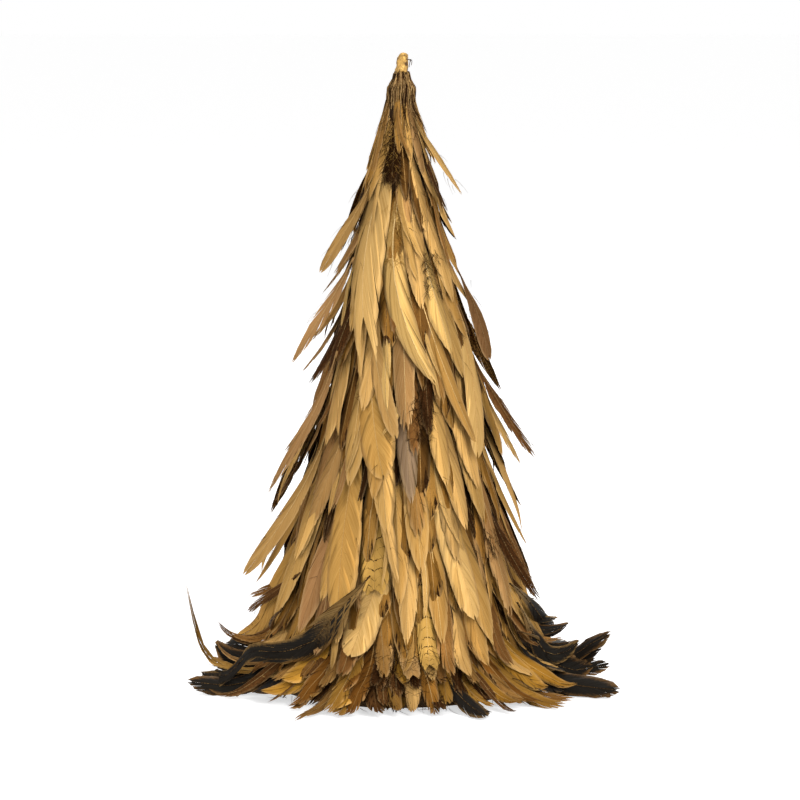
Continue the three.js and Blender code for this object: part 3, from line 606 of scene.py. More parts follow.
def even_draws():
    """The frame's own run of numbers from 0 to 1: each is the last times a factor, over a prime."""
    state = RANDOM_SEED
    while True:
        state = state * RANDOM_FACTOR % RANDOM_MODULUS
        yield state / RANDOM_MODULUS


draws = even_draws()


def back_paths(row, draws):
    """Feathers behind, evenly round from side to side, each strayed, scaled and lifted by the draws."""
    height = row_height(row)
    start = FIRST_BACK_ANGLE * DEGREE
    span = 2 * (math.pi - start)
    fitting = span * dressed_radius(height) / (VANE_WIDTH * BACK_WIDTH * BACK_SPREAD)
    count = max(LEAST_BACK_COUNT, math.floor(fitting + 0.5))
    step = span / (count - 1)
    growth = min(1, (OVERALL_HEIGHT - height) / (OVERALL_HEIGHT / 2))

    def about(share):
        return share * (next(draws) - 0.5)

    paths = []
    for i in range(count - row % 2):
        azimuth = start + (i + row % 2 / 2) * step + about(step * ROOT_STRAY)
        reach = (FIRST_BACK_LENGTH + BACK_LENGTH_GROWTH * growth) * (1 + about(LENGTH_VARY))
        bend = LOWEST_BENDS[0] + (LOWEST_BENDS[1] - LOWEST_BENDS[0]) * next(draws)
        length = min(length_at_height(height) + reach, BEND_START + SKIRT_BEND * bend)
        tip = azimuth + about(step * TIP_STRAY)
        width = BACK_WIDTH * (1 + growth) / 2 * (1 + about(WIDTH_VARY))
        bow = about(BACK_BOW)
        lift = VANE_WIDTH * BACK_LIFT * next(draws) ** 2
        kind = BACK_KINDS[(KIND_STEPS[0] * i + KIND_STEPS[1] * row) % len(BACK_KINDS)]
        ends = (azimuth, length_at_height(height)), (tip, length)
        paths.append(Path(*ends, width, kind, bow, LAY_RISE, lift))
    return paths


def skirt_paths(height, table):
    paths = []
    for root, tip, reach, rise, width, kind in table:
        ends = (root * DEGREE, length_at_height(height)), (tip * DEGREE, length_at_reach(SKIRT_REACH * reach))
        paths.append(Path(*ends, width, kind, lift=max(0, rise * HUNDREDTH - TAPE_SEAT)))
    return paths


def hem_paths():
    length, lift = to_guide(np.array(HEM_TIP_RADIUS), np.array(HEM_TIP_HEIGHT))
    paths = []
    for i in range(HEM_COUNT):
        azimuth = i / HEM_COUNT * TURN
        swing = (HEM_SWING if i % 2 else -HEM_SWING) * DEGREE
        ends = (azimuth, length_at_height(LOWER_SKIRT_HEIGHT)), (azimuth + swing, float(length))
        paths.append(Path(*ends, HEM_WIDTH, "dark", lift=float(lift) - TAPE_SEAT))
    return paths


def stray_path(shares, kind, edge=0, back=False, floor=False):
    root_side, root_height, tip_side, tip_height, width, bow = shares
    root, _ = seen_at(root_side * HUNDREDTH, root_height * HUNDREDTH, edge)
    tip, beyond = seen_at(tip_side * HUNDREDTH, tip_height * HUNDREDTH, edge)
    if back:
        root, tip = math.pi - root, math.pi - tip
    if floor:
        tip_length, rise, lift = length_at_reach(abs(tip_side) * HUNDREDTH), 0, tip_height * HUNDREDTH
    else:
        tip_height = lowered(tip_height * HUNDREDTH, tip_side * HUNDREDTH, 0 if back else tip)
        tip_length, rise, lift = length_at_height(tip_height), LAY_RISE, beyond
    ends = (root, length_at_height(root_height * HUNDREDTH)), (tip, tip_length)
    return Path(*ends, width, kind, bow, rise, lift, TAPE_THICKNESS, sewn=False)


def seat_as_packed(path, node):
    """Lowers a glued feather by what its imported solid's tip lies below the settled path's."""
    vertices = frame["nodes"][node].data.vertices
    co = np.empty(3 * len(vertices))
    vertices.foreach_get("co", co)
    co = co.reshape(-1, 3) / MM
    tip = points_at(path.azimuths[-1], path.lengths[-1], path.lifts[-1])
    nearest = co[np.argmin(np.linalg.norm(co - tip, axis=1))]
    _, lift = to_guide(np.hypot(nearest[0], nearest[1]), nearest[2])
    path.lifts -= max(0, path.lifts[-1] - float(lift))


# How each kind of feather is shaped and coloured

def colour(code):
    """Linear red, green and blue of an sRGB hex colour: a power of 2.4 over 0.04, a straight line below."""
    share = np.array([int(code[i : i + 2], 16) for i in (1, 3, 5)]) / 255
    return np.where(share <= 0.04045, share / 12.92, ((share + 0.055) / 1.055) ** 2.4)


# A shape is its outline, as half widths at shares of the length, then the share of the length that the shaft
# takes, how far the barbs sweep, how deep the splits go, how ragged the edge is and how far the sides droop
SHAPES = {
    "leaf": (
        (
            (0.03, 0.12), (0.15, 0.55), (0.3, 0.88), (0.5, 1),
            (0.7, 0.94), (0.85, 0.68), (0.94, 0.36), (1, 0.05),
        ),
        0.95, 2.2, 0.22, 0.02, 0.3,
    ),
    "fork": (
        (
            (0.03, 0.12), (0.15, 0.6), (0.3, 0.92), (0.5, 1),
            (0.68, 0.9), (0.82, 0.72), (0.93, 0.62), (1, 0.46),
        ),
        0.78, 2, 0.35, 0.03, 0.28,
    ),
    "round": (
        (
            (0.03, 0.1), (0.15, 0.45), (0.3, 0.78), (0.55, 1),
            (0.78, 1), (0.9, 0.8), (0.97, 0.46), (1, 0.08),
        ),
        0.97, 1.75, 0.06, 0.015, 0.25,
    ),
    "blunt": (
        ((0.03, 0.12), (0.15, 0.55), (0.3, 0.85), (0.55, 1), (0.8, 1), (0.93, 0.86), (1, 0.5)),
        0.93, 2, 0.5, 0.05, 0.25,
    ),
    "lance": (
        ((0.03, 0.15), (0.18, 0.5), (0.4, 0.85), (0.65, 0.8), (0.85, 0.5), (1, 0.05)),
        0.96, 2.1, 0.5, 0.04, 0.3,
    ),
    "torn": (
        (
            (0.03, 0.15), (0.15, 0.55), (0.3, 0.88), (0.5, 1),
            (0.7, 0.94), (0.86, 0.74), (0.95, 0.5), (1, 0.16),
        ),
        0.92, 2.1, 0.75, 0.08, 0.32,
    ),
    "cock": (
        ((0.04, 0.12), (0.2, 0.42), (0.45, 0.78), (0.7, 1), (0.86, 0.98), (0.95, 0.7), (1, 0.12)),
        0.97, 1.9, 0.3, 0.03, 0.3,
    ),
    "wisp": (
        ((0.03, 0.15), (0.15, 0.6), (0.35, 0.95), (0.55, 0.88), (0.75, 0.6), (0.9, 0.28), (1, 0.04)),
        0.93, 2.2, 0.8, 0.12, 0.3,
    ),
    "sickle": (
        (
            (0.03, 0.1), (0.15, 0.38), (0.3, 0.85), (0.45, 1), (0.6, 0.9),
            (0.7, 0.55), (0.78, 0.42), (0.88, 0.75), (0.95, 0.74), (1, 0.25),
        ),
        0.98, 1.7, 0.4, 0.05, 0.25,
    ),
}

# A kind is its shape, the colours it is drawn from, how much of it the gold spray covers, and its finish
GILT, COCK, CRAZED, TAPE = range(4)
KINDS = {
    "gold": ("leaf", ("#b08746", "#a2783a", "#ba904f", "#a77e3f", "#b38a49"), 0.95, GILT),
    "hero": ("fork", ("#bb9453",), 1, GILT),
    "pale": ("leaf", ("#be9753", "#b58c4b"), 1, GILT),
    "bright": ("round", ("#cca25c",), 1, GILT),
    "warm": ("leaf", ("#a07640",), 0.95, GILT),
    "round": ("round", ("#b08440",), 1, GILT),
    "blunt": ("blunt", ("#99733f",), 0.9, GILT),
    "rose": ("leaf", ("#966d40",), 0.9, GILT),
    "tan": ("torn", ("#916c3d", "#876236"), 0.85, GILT),
    "grey": ("leaf", ("#7c6447",), 0.9, GILT),
    "bronze": ("torn", ("#825a2a", "#744d24", "#8b6430"), 0.75, GILT),
    "brown": ("torn", ("#6c4722", "#5d3c1c"), 0.6, GILT),
    "dark": ("torn", ("#4b2d13",), 0.45, GILT),
    "lance": ("lance", ("#ac8649",), 0.9, GILT),
    "slender": ("round", ("#a07a42",), 0.95, GILT),
    "spear": ("lance", ("#997243",), 0.85, GILT),
    "drooping": ("round", ("#6f4e2c",), 0.7, GILT),
    "cock": ("cock", ("#80602f", "#6f4c22"), 0.3, COCK),
    "curl": ("cock", ("#8c682f",), 0.8, GILT),
    "sickle": ("sickle", ("#80602f",), 0.3, COCK),
    "crazed": ("blunt", ("#ae8641",), 1, CRAZED),
    # Dark feathers under the rows: their colours paint the shade in the gaps between feathers
    "deep": ("wisp", ("#4a2c12", "#36200c"), 0.45, GILT),
    "fan": ("torn", ("#825720", "#6f4618", "#946a29"), 0.8, GILT),
    "amber": ("leaf", ("#a57629", "#936722"), 0.95, GILT),
    # Darker gold feathers under the rows: their colours paint the shade in the gaps between feathers
    "under": ("leaf", ("#8b6128", "#7a5420", "#976d30", "#5f3f19"), 0.75, GILT),
}
SHAFT_COLOUR = colour("#d9b878")
BARE_FOOT = 0.03
COCK_FRINGE = 1.35
COCK_DUST = 0.85
BARB_BEND = 0.22
SHEET_THICKNESS = 0.3
# How uneven the clumps of barbs are, and how they split, fall short, sag and wave
CLUMP_LEAST = 0.35
CLUMP_CROWDING = 1.15
SPLIT_ODDS = 2.5
SPLIT_GROWTH = 1.3
CLUMP_SHORT = 0.6
SIDE_SHARES = (0.72, 1)
SHAFT_CLEARANCE = 0.2
CROWN = 0.3
SAGS = (0.2, 1.2)
SAG_GROWTH = 1.6
WAVE = 0.04
WAVE_TURNS = (0.6, 1.6)
PLY = 0.06
EDGE_THINNING = 0.5
# How much the colour and the paint change from feather to feather, from clump to clump and along a feather,
# darker at the root as painted shade under the feathers above
FEATHER_TONE = 0.06
CLUMP_TONE = 0.02
SIDE_TONE = 0.1
ROOT_PAINTED_SHADE = 0.84
SHADE_FADE_TO_TIP = 0.28
PAINT_START = (-0.05, 0.25)
UNDERSIDE_PAINT = 0.3
COCK_RIM = (0.35, 1)
# Where along a feather the painted shade at its root fades, and how the dust on a cock feather gathers at its
# rim and its root
SHADE_FADE_SHARES = (0, 0.8)
RIM_DUST = (0.5, 1)
ROOT_DUST = (0.5, 0.05)
PATTERN_SHIFT = 40
# Grids of a vane: clumps on each side, then columns and rows of quads in a clump
FINE_GRID = (7, 3, 4)
PLAIN_GRID = (3, 3, 2)


class Heap:
    """One piece in the making: points in millimetres, quads, and each point's place on its barb and dye."""

    def __init__(self):
        self.points, self.barbs, self.dyes, self.faces, self.finishes = [], [], [], [], []
        self.count = 0

    def add(self, points, barbs, dyes, faces, finish):
        points = points.reshape(-1, 3)
        self.points.append(points)
        self.barbs.append(barbs.reshape(-1, 2))
        self.dyes.append(dyes.reshape(-1, 4))
        self.faces.append(faces + self.count)
        self.finishes.append(np.full(len(faces), finish))
        self.count += len(points)


def smooth_step(low, high, value):
    share = np.clip((value - low) / (high - low), 0, 1)
    return share * share * (3 - 2 * share)


ROLL_SHARES = (0.05, 0.6)


def on_path(path, along, across, lift):
    """Points at millimetres along and across a path, turned about it by a roll that grows from root to tip.

    Across adds to the azimuth by the heading's cosine over the radius, and takes its sine off the length.
    """
    share = along / path.reach
    azimuth, length = path.place(share)
    heading = path.heading(share)
    roll = path.roll * smooth_step(*ROLL_SHARES, share)
    sideways = across * np.cos(roll) - lift * np.sin(roll)
    lift = path.lift(share) + across * np.sin(roll) + lift * np.cos(roll)
    radius = np.maximum(on_guide(length, lift)[0], CONE_TOP_RADIUS)
    return points_at(azimuth + sideways * np.cos(heading) / radius, length - sideways * np.sin(heading), lift)


def sheet_faces(groups, columns, rows, mirrored):
    """Quads of closed thin sheets: a grid above, the same below wound back, and a rim round each border."""
    above = np.arange(groups * columns * rows).reshape(groups, columns, rows)
    below = above.size
    quads = np.stack([above[:, :-1, :-1], above[:, 1:, :-1], above[:, 1:, 1:], above[:, :-1, 1:]], -1)
    quads = quads.reshape(groups, -1, 4)
    border = [above[:, :, 0], above[:, -1, 1:], above[:, -2::-1, -1], above[:, 0, -2:0:-1]]
    border = np.concatenate(border, axis=1)
    ahead = np.roll(border, -1, axis=1)
    rim = np.stack([ahead, border, border + below, ahead + below], -1)
    faces = np.concatenate([quads, quads[..., ::-1] + below, rim], axis=1)
    faces[mirrored] = faces[mirrored][..., ::-1]
    return faces.reshape(-1, 4)


def tube_faces(count, rings, sides):
    """Quads of closed tubes: each ring joined to the next, and a flat cap of four corners at either end."""
    index = np.arange(count * rings * sides).reshape(count, rings, sides)
    ahead = np.roll(index, -1, axis=2)
    walls = np.stack([index[:, :-1], ahead[:, :-1], ahead[:, 1:], index[:, 1:]], -1).reshape(-1, 4)
    return np.concatenate([walls, index[:, 0, ::-1], index[:, -1]])


def add_vane(heap, path, rng, grid):
    """The two sides of a vane as clumps of barbs, each a thin closed sheet.

    The barb that leaves the shaft at share b of it ends on the outline at share 1 - (1 - b) ** sweep of the
    length. At q from 0 at the shaft to 1 at the edge it has gone (q + bend q²) / (1 + bend) of the way along
    and (q - bend q²) / (1 - bend) of the way out. A clump's barbs draw towards its middle as q grows, which
    opens splits between clumps.
    """
    shape, colours, cover, finish = KINDS[path.kind]
    outline, shaft_share, sweep, split, ragged, droop = SHAPES[shape]
    clumps, columns, rows = grid
    each = (2, clumps, 1, 1)
    half = path.width / 2 * (COCK_FRINGE if finish == COCK else 1)
    shaft = path.reach * shaft_share
    side = np.array([-1, 1])[:, None, None, None]

    weights = CLUMP_LEAST + rng.random((2, clumps))
    cuts = np.concatenate([np.zeros((2, 1)), np.cumsum(weights, axis=1)], axis=1)
    cuts = BARE_FOOT + (1 - BARE_FOOT) * (1 - (1 - cuts / cuts[:, -1:]) ** CLUMP_CROWDING)
    u = np.linspace(0, 1, columns + 1)
    base = (cuts[:, :-1, None] + (cuts[:, 1:] - cuts[:, :-1])[..., None] * u)[..., None]
    middle = base.mean(axis=2, keepdims=True)
    q = np.linspace(0, 1, rows + 1)

    shares, halves = np.array(outline).T
    drawn = split * rng.random(each) ** SPLIT_ODDS
    end_base = base + (middle - base) * drawn * q**SPLIT_GROWTH
    end = shares[0] + (1 - shares[0]) * (1 - (1 - end_base) ** sweep)
    short = 1 - ragged * np.abs(rng.normal(size=base.shape)) - CLUMP_SHORT * ragged * rng.random(each)
    side_share = rng.uniform(*SIDE_SHARES, 2)[rng.permutation(2)][:, None, None, None]
    side_share = side_share / side_share.max() if shape != "lance" else side_share
    along = shaft * base
    along = along + (end * path.reach - along) * short * (q + BARB_BEND * q**2) / (1 + BARB_BEND)
    out = np.interp(end, shares, halves) * side_share * short * (q - BARB_BEND * q**2) / (1 - BARB_BEND)
    across = side * (SHAFT_CLEARANCE + half * out)

    share = along / path.reach
    crown = CROWN * droop * half
    sag = crown - droop * half * rng.uniform(*SAGS, (2, 1, 1, 1)) * out**SAG_GROWTH
    wave = WAVE * half * np.sin(TURN * (rng.uniform(*WAVE_TURNS) * share + rng.random())) * out
    ply = PLY * rng.normal(size=each) * q
    lift = sag + wave + ply
    thin = SHEET_THICKNESS * (1 - EDGE_THINNING * q) + 0 * lift

    tone = 1 + FEATHER_TONE * rng.normal() + CLUMP_TONE * rng.normal(size=each) + 0 * lift
    tone = tone + SIDE_TONE * rng.uniform(-1, 1, (2, 1, 1, 1))
    # Darker at the root, where the feathers above lie over it, and lighter towards the tip: painted shade
    tone = tone * (ROOT_PAINTED_SHADE + SHADE_FADE_TO_TIP * smooth_step(*SHADE_FADE_SHARES, share))
    dye = colour(colours[rng.integers(len(colours))]) * tone[..., None]
    covered = cover * smooth_step(*PAINT_START, share) + 0 * lift
    if finish == COCK:
        rim = smooth_step(*RIM_DUST, q) * rng.uniform(*COCK_RIM, (2, 1, 1, 1))
        covered = COCK_DUST * (rim + smooth_step(*ROOT_DUST, share)) + 0 * lift
    above = np.concatenate([np.clip(dye, 0, 1), covered[..., None]], axis=-1)
    below = np.concatenate([np.clip(dye, 0, 1), UNDERSIDE_PAINT * covered[..., None]], axis=-1)
    row = base * shaft / VANE_WIDTH + rng.uniform(0, PATTERN_SHIFT)
    barbs = np.stack([side * q + 0 * lift, row + 0 * lift], axis=-1)
    points = [on_path(path, along, across, lift), on_path(path, along, across, lift - thin)]
    faces = sheet_faces(2 * clumps, columns + 1, rows + 1, np.arange(2 * clumps) < clumps)
    dyes = np.concatenate([above, below])
    heap.add(np.concatenate(points), np.concatenate([barbs, barbs]), dyes, faces, finish)
    return shaft, crown


# A quill and shaft
SHAFT_RINGS = 9
SHAFT_SIDES = 4
SHAFT_WIDTH = 1.7
SHAFT_TIP_WIDTH = 0.35
SHAFT_TAPER = 0.6
FULL_SHAFT_VANE = 12
CROWN_RISE = 6
PALE_SHAFTS = ("hero", "pale")
SHAFT_PALENESS = 0.5


def add_shaft(heap, path, length, crown, rng):
    """The quill and shaft: a four-sided tube along the path, thinning from the quill's width to the tip's."""
    share = np.linspace(0, 1, SHAFT_RINGS)[:, None]
    turn = (np.arange(SHAFT_SIDES) + 0.5) / SHAFT_SIDES * TURN
    width = SHAFT_WIDTH + (SHAFT_TIP_WIDTH - SHAFT_WIDTH) * share**SHAFT_TAPER
    radius = width / 2 * min(1, path.width / FULL_SHAFT_VANE)
    lift = crown * np.minimum(1, share * CROWN_RISE) + radius * np.sin(turn)
    points = on_path(path, share * length + 0 * turn, radius * np.cos(turn), lift)
    _, colours, cover, _ = KINDS[path.kind]
    own = colour(colours[0])
    pale = path.kind in PALE_SHAFTS
    dye = SHAFT_COLOUR if pale else own + (SHAFT_COLOUR - own) * rng.random() * SHAFT_PALENESS
    dyes = np.broadcast_to([*dye, cover], (SHAFT_RINGS, SHAFT_SIDES, 4))
    barbs = np.stack([0 * radius + 0 * turn, share * length / VANE_WIDTH + 0 * turn], axis=-1)
    heap.add(points, barbs, dyes, tube_faces(1, SHAFT_RINGS, SHAFT_SIDES), GILT)


def add_strands(heap, lines, radii, dye, cover):
    """Loose barbs and thin quills: four-sided tubes along lines of points, framed by their direction."""
    along = np.gradient(lines, axis=1)
    along /= np.linalg.norm(along, axis=-1, keepdims=True)
    outward = np.concatenate([lines[..., :2], np.zeros((*lines.shape[:2], 1))], axis=-1)
    first = np.cross(along, outward)
    first /= np.maximum(np.linalg.norm(first, axis=-1, keepdims=True), MM)
    second = np.cross(along, first)
    turn = np.arange(SHAFT_SIDES) / SHAFT_SIDES * TURN
    ring = first[:, :, None] * np.cos(turn)[:, None] + second[:, :, None] * np.sin(turn)[:, None]
    points = lines[:, :, None] + ring * np.asarray(radii)[..., None, None]
    count, rings = lines.shape[:2]
    dyes = np.broadcast_to([*dye, cover], (count, rings, SHAFT_SIDES, 4))
    barbs = np.zeros((count, rings, SHAFT_SIDES, 2)) + np.arange(rings)[:, None, None] / rings
    heap.add(points, barbs, dyes, tube_faces(count, rings, SHAFT_SIDES), GILT)


# Loose barbs: where they leave the edge, how far they reach, lift, curve along and out, and how they thin
HAIR_COUNT = 3
HAIR_STATIONS = 4
HAIR_STARTS = (0.3, 0.9)
HAIR_REACHES = (3, 9)
HAIR_LIFTS = (-1, 1.5)
HAIR_RADIUS = 0.17
HAIR_TONE = 0.7
HAIR_PAINT = 0.4
HAIR_EDGE = 0.8
HAIR_ALONG = (1.2, 0.5)
HAIR_OUT = 0.7
HAIR_BEND = 0.3
HAIR_TAPER = 0.7


def add_hairs(heap, path, rng, count):
    """Loose barbs at a vane's edges: each leaves the edge at a random share and runs on out and along."""
    side = rng.choice([-1, 1], (count, 1))
    start = rng.uniform(*HAIR_STARTS, (count, 1)) * path.reach
    out = rng.uniform(*HAIR_REACHES, (count, 1))
    q = np.linspace(0, 1, HAIR_STATIONS)
    along = start + out * (HAIR_ALONG[0] * q + HAIR_ALONG[1] * q**2)
    across = side * (path.width / 2 * HAIR_EDGE + out * (q - HAIR_BEND * q**2) * HAIR_OUT)
    lines = on_path(path, along, across, rng.uniform(*HAIR_LIFTS, (count, 1)) * q)
    radii = HAIR_RADIUS * (1 - HAIR_TAPER * q) + 0 * side
    add_strands(heap, lines, radii, colour(KINDS[path.kind][1][0]) * HAIR_TONE, HAIR_PAINT)


def add_feather(heap, path, rng, grid=FINE_GRID, hairs=HAIR_COUNT):
    shaft, crown = add_vane(heap, path, rng, grid)
    add_shaft(heap, path, shaft, crown, rng)
    if hairs:
        add_hairs(heap, path, rng, hairs)


# How far feathers strung evenly round stray from their places, as a share of the space between them
SMALL_JITTER = 0.3
LARGE_JITTER = 0.4

# Feathers that fill in under a row, some of them dark ones; their darker colours paint the shade in the gaps
# between feathers
UNDER_SPACING = 13
UNDER_LEAST_COUNT = 5
UNDER_LENGTHS = (52, 84)
UNDER_SWING = (4, 20)
UNDER_WIDTHS = (0.5, 0.75)
UNDER_FULL_RADIUS = 30
UNDER_LEAST_SIZE = 0.4
DEEP_SHARE = 0.25
DEEP_SIZE = 0.8


def under_paths(row, rng):
    """Browner feathers with less paint, which fill in under a row and lie on what is laid so far; their browner
    colours paint the shade in the gaps.
    """
    height = row_height(row)
    radius = dressed_radius(height)
    count = max(UNDER_LEAST_COUNT, round(TURN * radius / UNDER_SPACING))
    azimuths = (np.arange(count) + rng.uniform(-SMALL_JITTER, SMALL_JITTER, count)) / count * TURN
    top = length_at_height(height)
    lowest = BEND_START + SKIRT_BEND * LOWEST_BENDS[0]
    small = UNDER_LEAST_SIZE + (1 - UNDER_LEAST_SIZE) * min(1, radius / UNDER_FULL_RADIUS)
    paths = []
    for azimuth in azimuths:
        reach = rng.uniform(*UNDER_LENGTHS)
        turn = rng.normal() * UNDER_SWING[0] / (radius + UNDER_SWING[1])
        kind, share = ("deep", DEEP_SIZE) if rng.random() < DEEP_SHARE else ("under", 1)
        ends = (azimuth, top), (azimuth + turn, min(top + reach * share, lowest))
        paths.append(Path(*ends, rng.uniform(*UNDER_WIDTHS) * small * share, kind))
    return paths


SLIVER_KINDS = ("gold", "pale", "tan", "lance", "bronze", "gold")
SLIVER_LEAST_COUNT = 3
SLIVER_SPACING = 9
SLIVER_LENGTHS = (55, 100)
SLIVER_SWING = (7, 15)
SLIVER_WIDTHS = (0.16, 0.34)
SLIVER_BOW = 0.06
SLIVER_LIFT = 7


def sliver_paths(row, rng):
    """Narrow feathers strung among the wide ones of a row."""
    height = row_height(row)
    radius = dressed_radius(height)
    count = round(SLIVER_LEAST_COUNT + radius / SLIVER_SPACING)
    top = length_at_height(height)
    lowest = BEND_START + SKIRT_BEND * LOWEST_BENDS[1]
    paths = []
    for i in range(count):
        azimuth = (i + rng.uniform(-LARGE_JITTER, LARGE_JITTER)) / count * TURN
        tip = min(top + rng.uniform(*SLIVER_LENGTHS), lowest)
        ends = (azimuth, top), (azimuth + rng.normal() * SLIVER_SWING[0] / (radius + SLIVER_SWING[1]), tip)
        kind = SLIVER_KINDS[rng.integers(len(SLIVER_KINDS))]
        width, bow, lift = rng.uniform(*SLIVER_WIDTHS), SLIVER_BOW * rng.normal(), rng.uniform(0, SLIVER_LIFT)
        paths.append(Path(*ends, width, kind, bow, LAY_RISE, lift))
    return paths


BAND_SEGMENTS = 96
TAPE_COLOUR = "#3a2a1a"


def add_tape(heap, height):
    """The sewn tape: a rectangle of radius and height turned about the axis, a little out from the cone."""
    low, high = height - TAPE_HEIGHT / 2, height + TAPE_HEIGHT / 2
    inner, outer = FIT_GAP / math.cos(CONE_LEAN), (FIT_GAP + TAPE_THICKNESS) / math.cos(CONE_LEAN)
    heights = np.array([low, low, high, high])
    radii = cone_radius(heights) + np.array([inner, outer, outer, inner])
    turn = np.arange(BAND_SEGMENTS)[:, None] / BAND_SEGMENTS * TURN
    points = np.stack([radii * np.sin(turn), -radii * np.cos(turn), heights + 0 * turn], axis=-1)
    index = np.arange(BAND_SEGMENTS * 4).reshape(BAND_SEGMENTS, 4)
    ahead, after = np.roll(index, -1, axis=1), np.roll(index, -1, axis=0)
    faces = np.stack([index, after, np.roll(after, -1, axis=1), ahead], -1).reshape(-1, 4)
    dyes = np.broadcast_to([*colour(TAPE_COLOUR), 0], (BAND_SEGMENTS, 4, 4))
    barbs = np.stack([turn * radii / VANE_WIDTH, (heights - low) / VANE_WIDTH + 0 * turn], axis=-1)
    heap.add(points, barbs, dyes, faces, TAPE)


# Where the cone is narrower than this, feathers lie closer to it, down to this share of their lift
WIDE_RADIUS = 75
CLOSE_SHARE = 0.6


def close_share(length):
    """How much of its lift a feather keeps at a length along the guide: less where the cone is narrow."""
    radius = on_guide(np.asarray(length), 0.0)[0]
    return CLOSE_SHARE + (1 - CLOSE_SHARE) * np.minimum(1, radius / WIDE_RADIUS)


# How far a strand of down reaches, turns, curls, stands off the pile and rises, and how it thins
FLUFF_STATIONS = 7
FLUFF_REACHES = (0.5, 1.2)
FLUFF_TURN = 1.2
FLUFF_CURL = 0.16
FLUFF_WAVES = (2, 6)
FLUFF_LIFTS = (-0.8, 1.2)
FLUFF_RISES = (0, 0.3)
FLUFF_TAPER = 0.75
FLUFF_RADIUS = 0.16
BARE_PAINT = 0.05


def add_fluff(heap, azimuths, heights, rng, span, dye, cover=BARE_PAINT, thickness=FLUFF_RADIUS):
    """Down and loose barbs: lines that start on the pile, run out from it, and curl by a growing sine."""
    column = (len(azimuths), 1)
    q = np.linspace(0, 1, FLUFF_STATIONS)
    start = np.array([length_at_height(height) for height in heights])[:, None]
    reach = span * rng.uniform(*FLUFF_REACHES, column)
    turn = rng.uniform(-FLUFF_TURN, FLUFF_TURN, column)
    curl = rng.normal(size=column) * FLUFF_CURL * reach * np.sin(q * rng.uniform(*FLUFF_WAVES, column))
    length = start + reach * q * np.cos(turn) + curl * np.sin(turn)
    across = reach * q * np.sin(turn) + curl * np.cos(turn)
    ground = np.maximum(pile[pile_cells(azimuths, start[:, 0])], LEAST_LIFT_OVER_FLOOR)[:, None]
    lift = ground * close_share(start) + rng.uniform(*FLUFF_LIFTS, column)
    lift = lift + reach * rng.uniform(*FLUFF_RISES, column) * q
    radius = np.maximum(on_guide(length, lift)[0], CONE_TOP_RADIUS + FIT_GAP)
    lines = points_at(azimuths[:, None] + across / radius, length, lift)
    add_strands(heap, lines, thickness * (1 - FLUFF_TAPER * q) + 0 * start, dye, cover)


pieces = {}


SEED = 20


def rng_for(*key):
    """A generator of its own for each use, which a key of whole numbers tells apart."""
    return np.random.default_rng([SEED, *key])


# How far feathers turn about their shafts in degrees, by which power of the azimuth's sine, and past which
# cosine of it they turn the other way, by what share
FLANK_ROLL = 26
LOOSE_ROLL = 12
FACING_POWER = 3
BACK_COSINE = -0.2
BACK_ROLL = 0.6


def roll_for(azimuth, rng, most=FLANK_ROLL, loose=LOOSE_ROLL):
    """How far a feather turns about its shaft: towards the front on either flank, and a little either way."""
    aside = math.sin(azimuth)
    facing = math.copysign(abs(aside) ** FACING_POWER, aside) * most
    if math.cos(azimuth) < BACK_COSINE:
        facing = -facing * BACK_ROLL
    return (facing + rng.uniform(-1, 1) * loose * abs(aside)) * DEGREE


def draw_in(path):
    """Brings a feather near the tip closer in: its lifts over its root's shrink where the cone is narrow."""
    path.lifts = path.lifts[0] + (path.lifts - path.lifts[0]) * close_share(path.root[1])


def raise_for_roll(path, share):
    """Lifts a rolled feather from its root on, by a share of its width times the sine of its roll."""
    rise = share * path.width * abs(math.sin(path.roll))
    path.lifts += rise * smooth_step(0, ROLL_SHARES[1], path.shares)


IN_ROW_STEP = 3
ROW_ROLL_RISE = 0.12


def lay_row(piece, height, paths, key, grid=FINE_GRID, most_roll=FLANK_ROLL):
    """Settles a row's feathers, raises the pile as packed, and lays each a little over the one before."""
    for path in paths:
        path.settle()
    for path in paths:
        path.load_pile()
    slack = min(1, dressed_radius(height) / WIDE_RADIUS)
    for i, path in enumerate(paths):
        path.smooth()
        draw_in(path)
        path.lifts += slack * IN_ROW_STEP * i * path.shares / len(paths)
        path.roll = roll_for(path.tip[0], rng_for(*key, i, 9), slack * most_roll, slack * LOOSE_ROLL)
        raise_for_roll(path, ROW_ROLL_RISE)
        add_feather(piece, path, rng_for(*key, i), grid)
    add_tape(piece, height)
    edges = [length_at_height(height + side * TAPE_HEIGHT / 2) for side in (1, -1)]
    azimuths = (np.arange(PILE_TURNS) + 0.5) / PILE_TURNS * TURN
    azimuth, length = np.meshgrid(azimuths, np.arange(*edges, SAMPLE_STEP / 2))
    raise_pile(azimuth.ravel(), length.ravel(), FIT_GAP + TAPE_THICKNESS)


UNDER_GAP = 0.1
UNDER_GRID = (3, 2, 2)


def lay_unseen(piece, paths, key, grid, gap):
    """Feathers that fill in between: they lie on the pile and don't raise it."""
    for i, path in enumerate(paths):
        path.settle(gap)
        path.smooth()
        draw_in(path)
        add_feather(piece, path, rng_for(*key, i), grid, hairs=0)


# Skirt feathers that hide the cone's foot: those at the sides and behind lie between these azimuths
SIDE_TURNS = (TURN / 6, TURN * 5 / 6)
FRONT_FILL_KINDS = ("fan", "amber", "brown", "under", "fan", "dark", "bronze")
SIDE_FILL_KINDS = ("cock", "bronze", "brown", "cock", "under", "cock", "bronze")
FILL_SWING = 0.07
FILL_WIDTHS = (0.45, 0.75)
FILL_BOW = 0.05
FILL_LIFT = 6
FILL_ROLL = 25


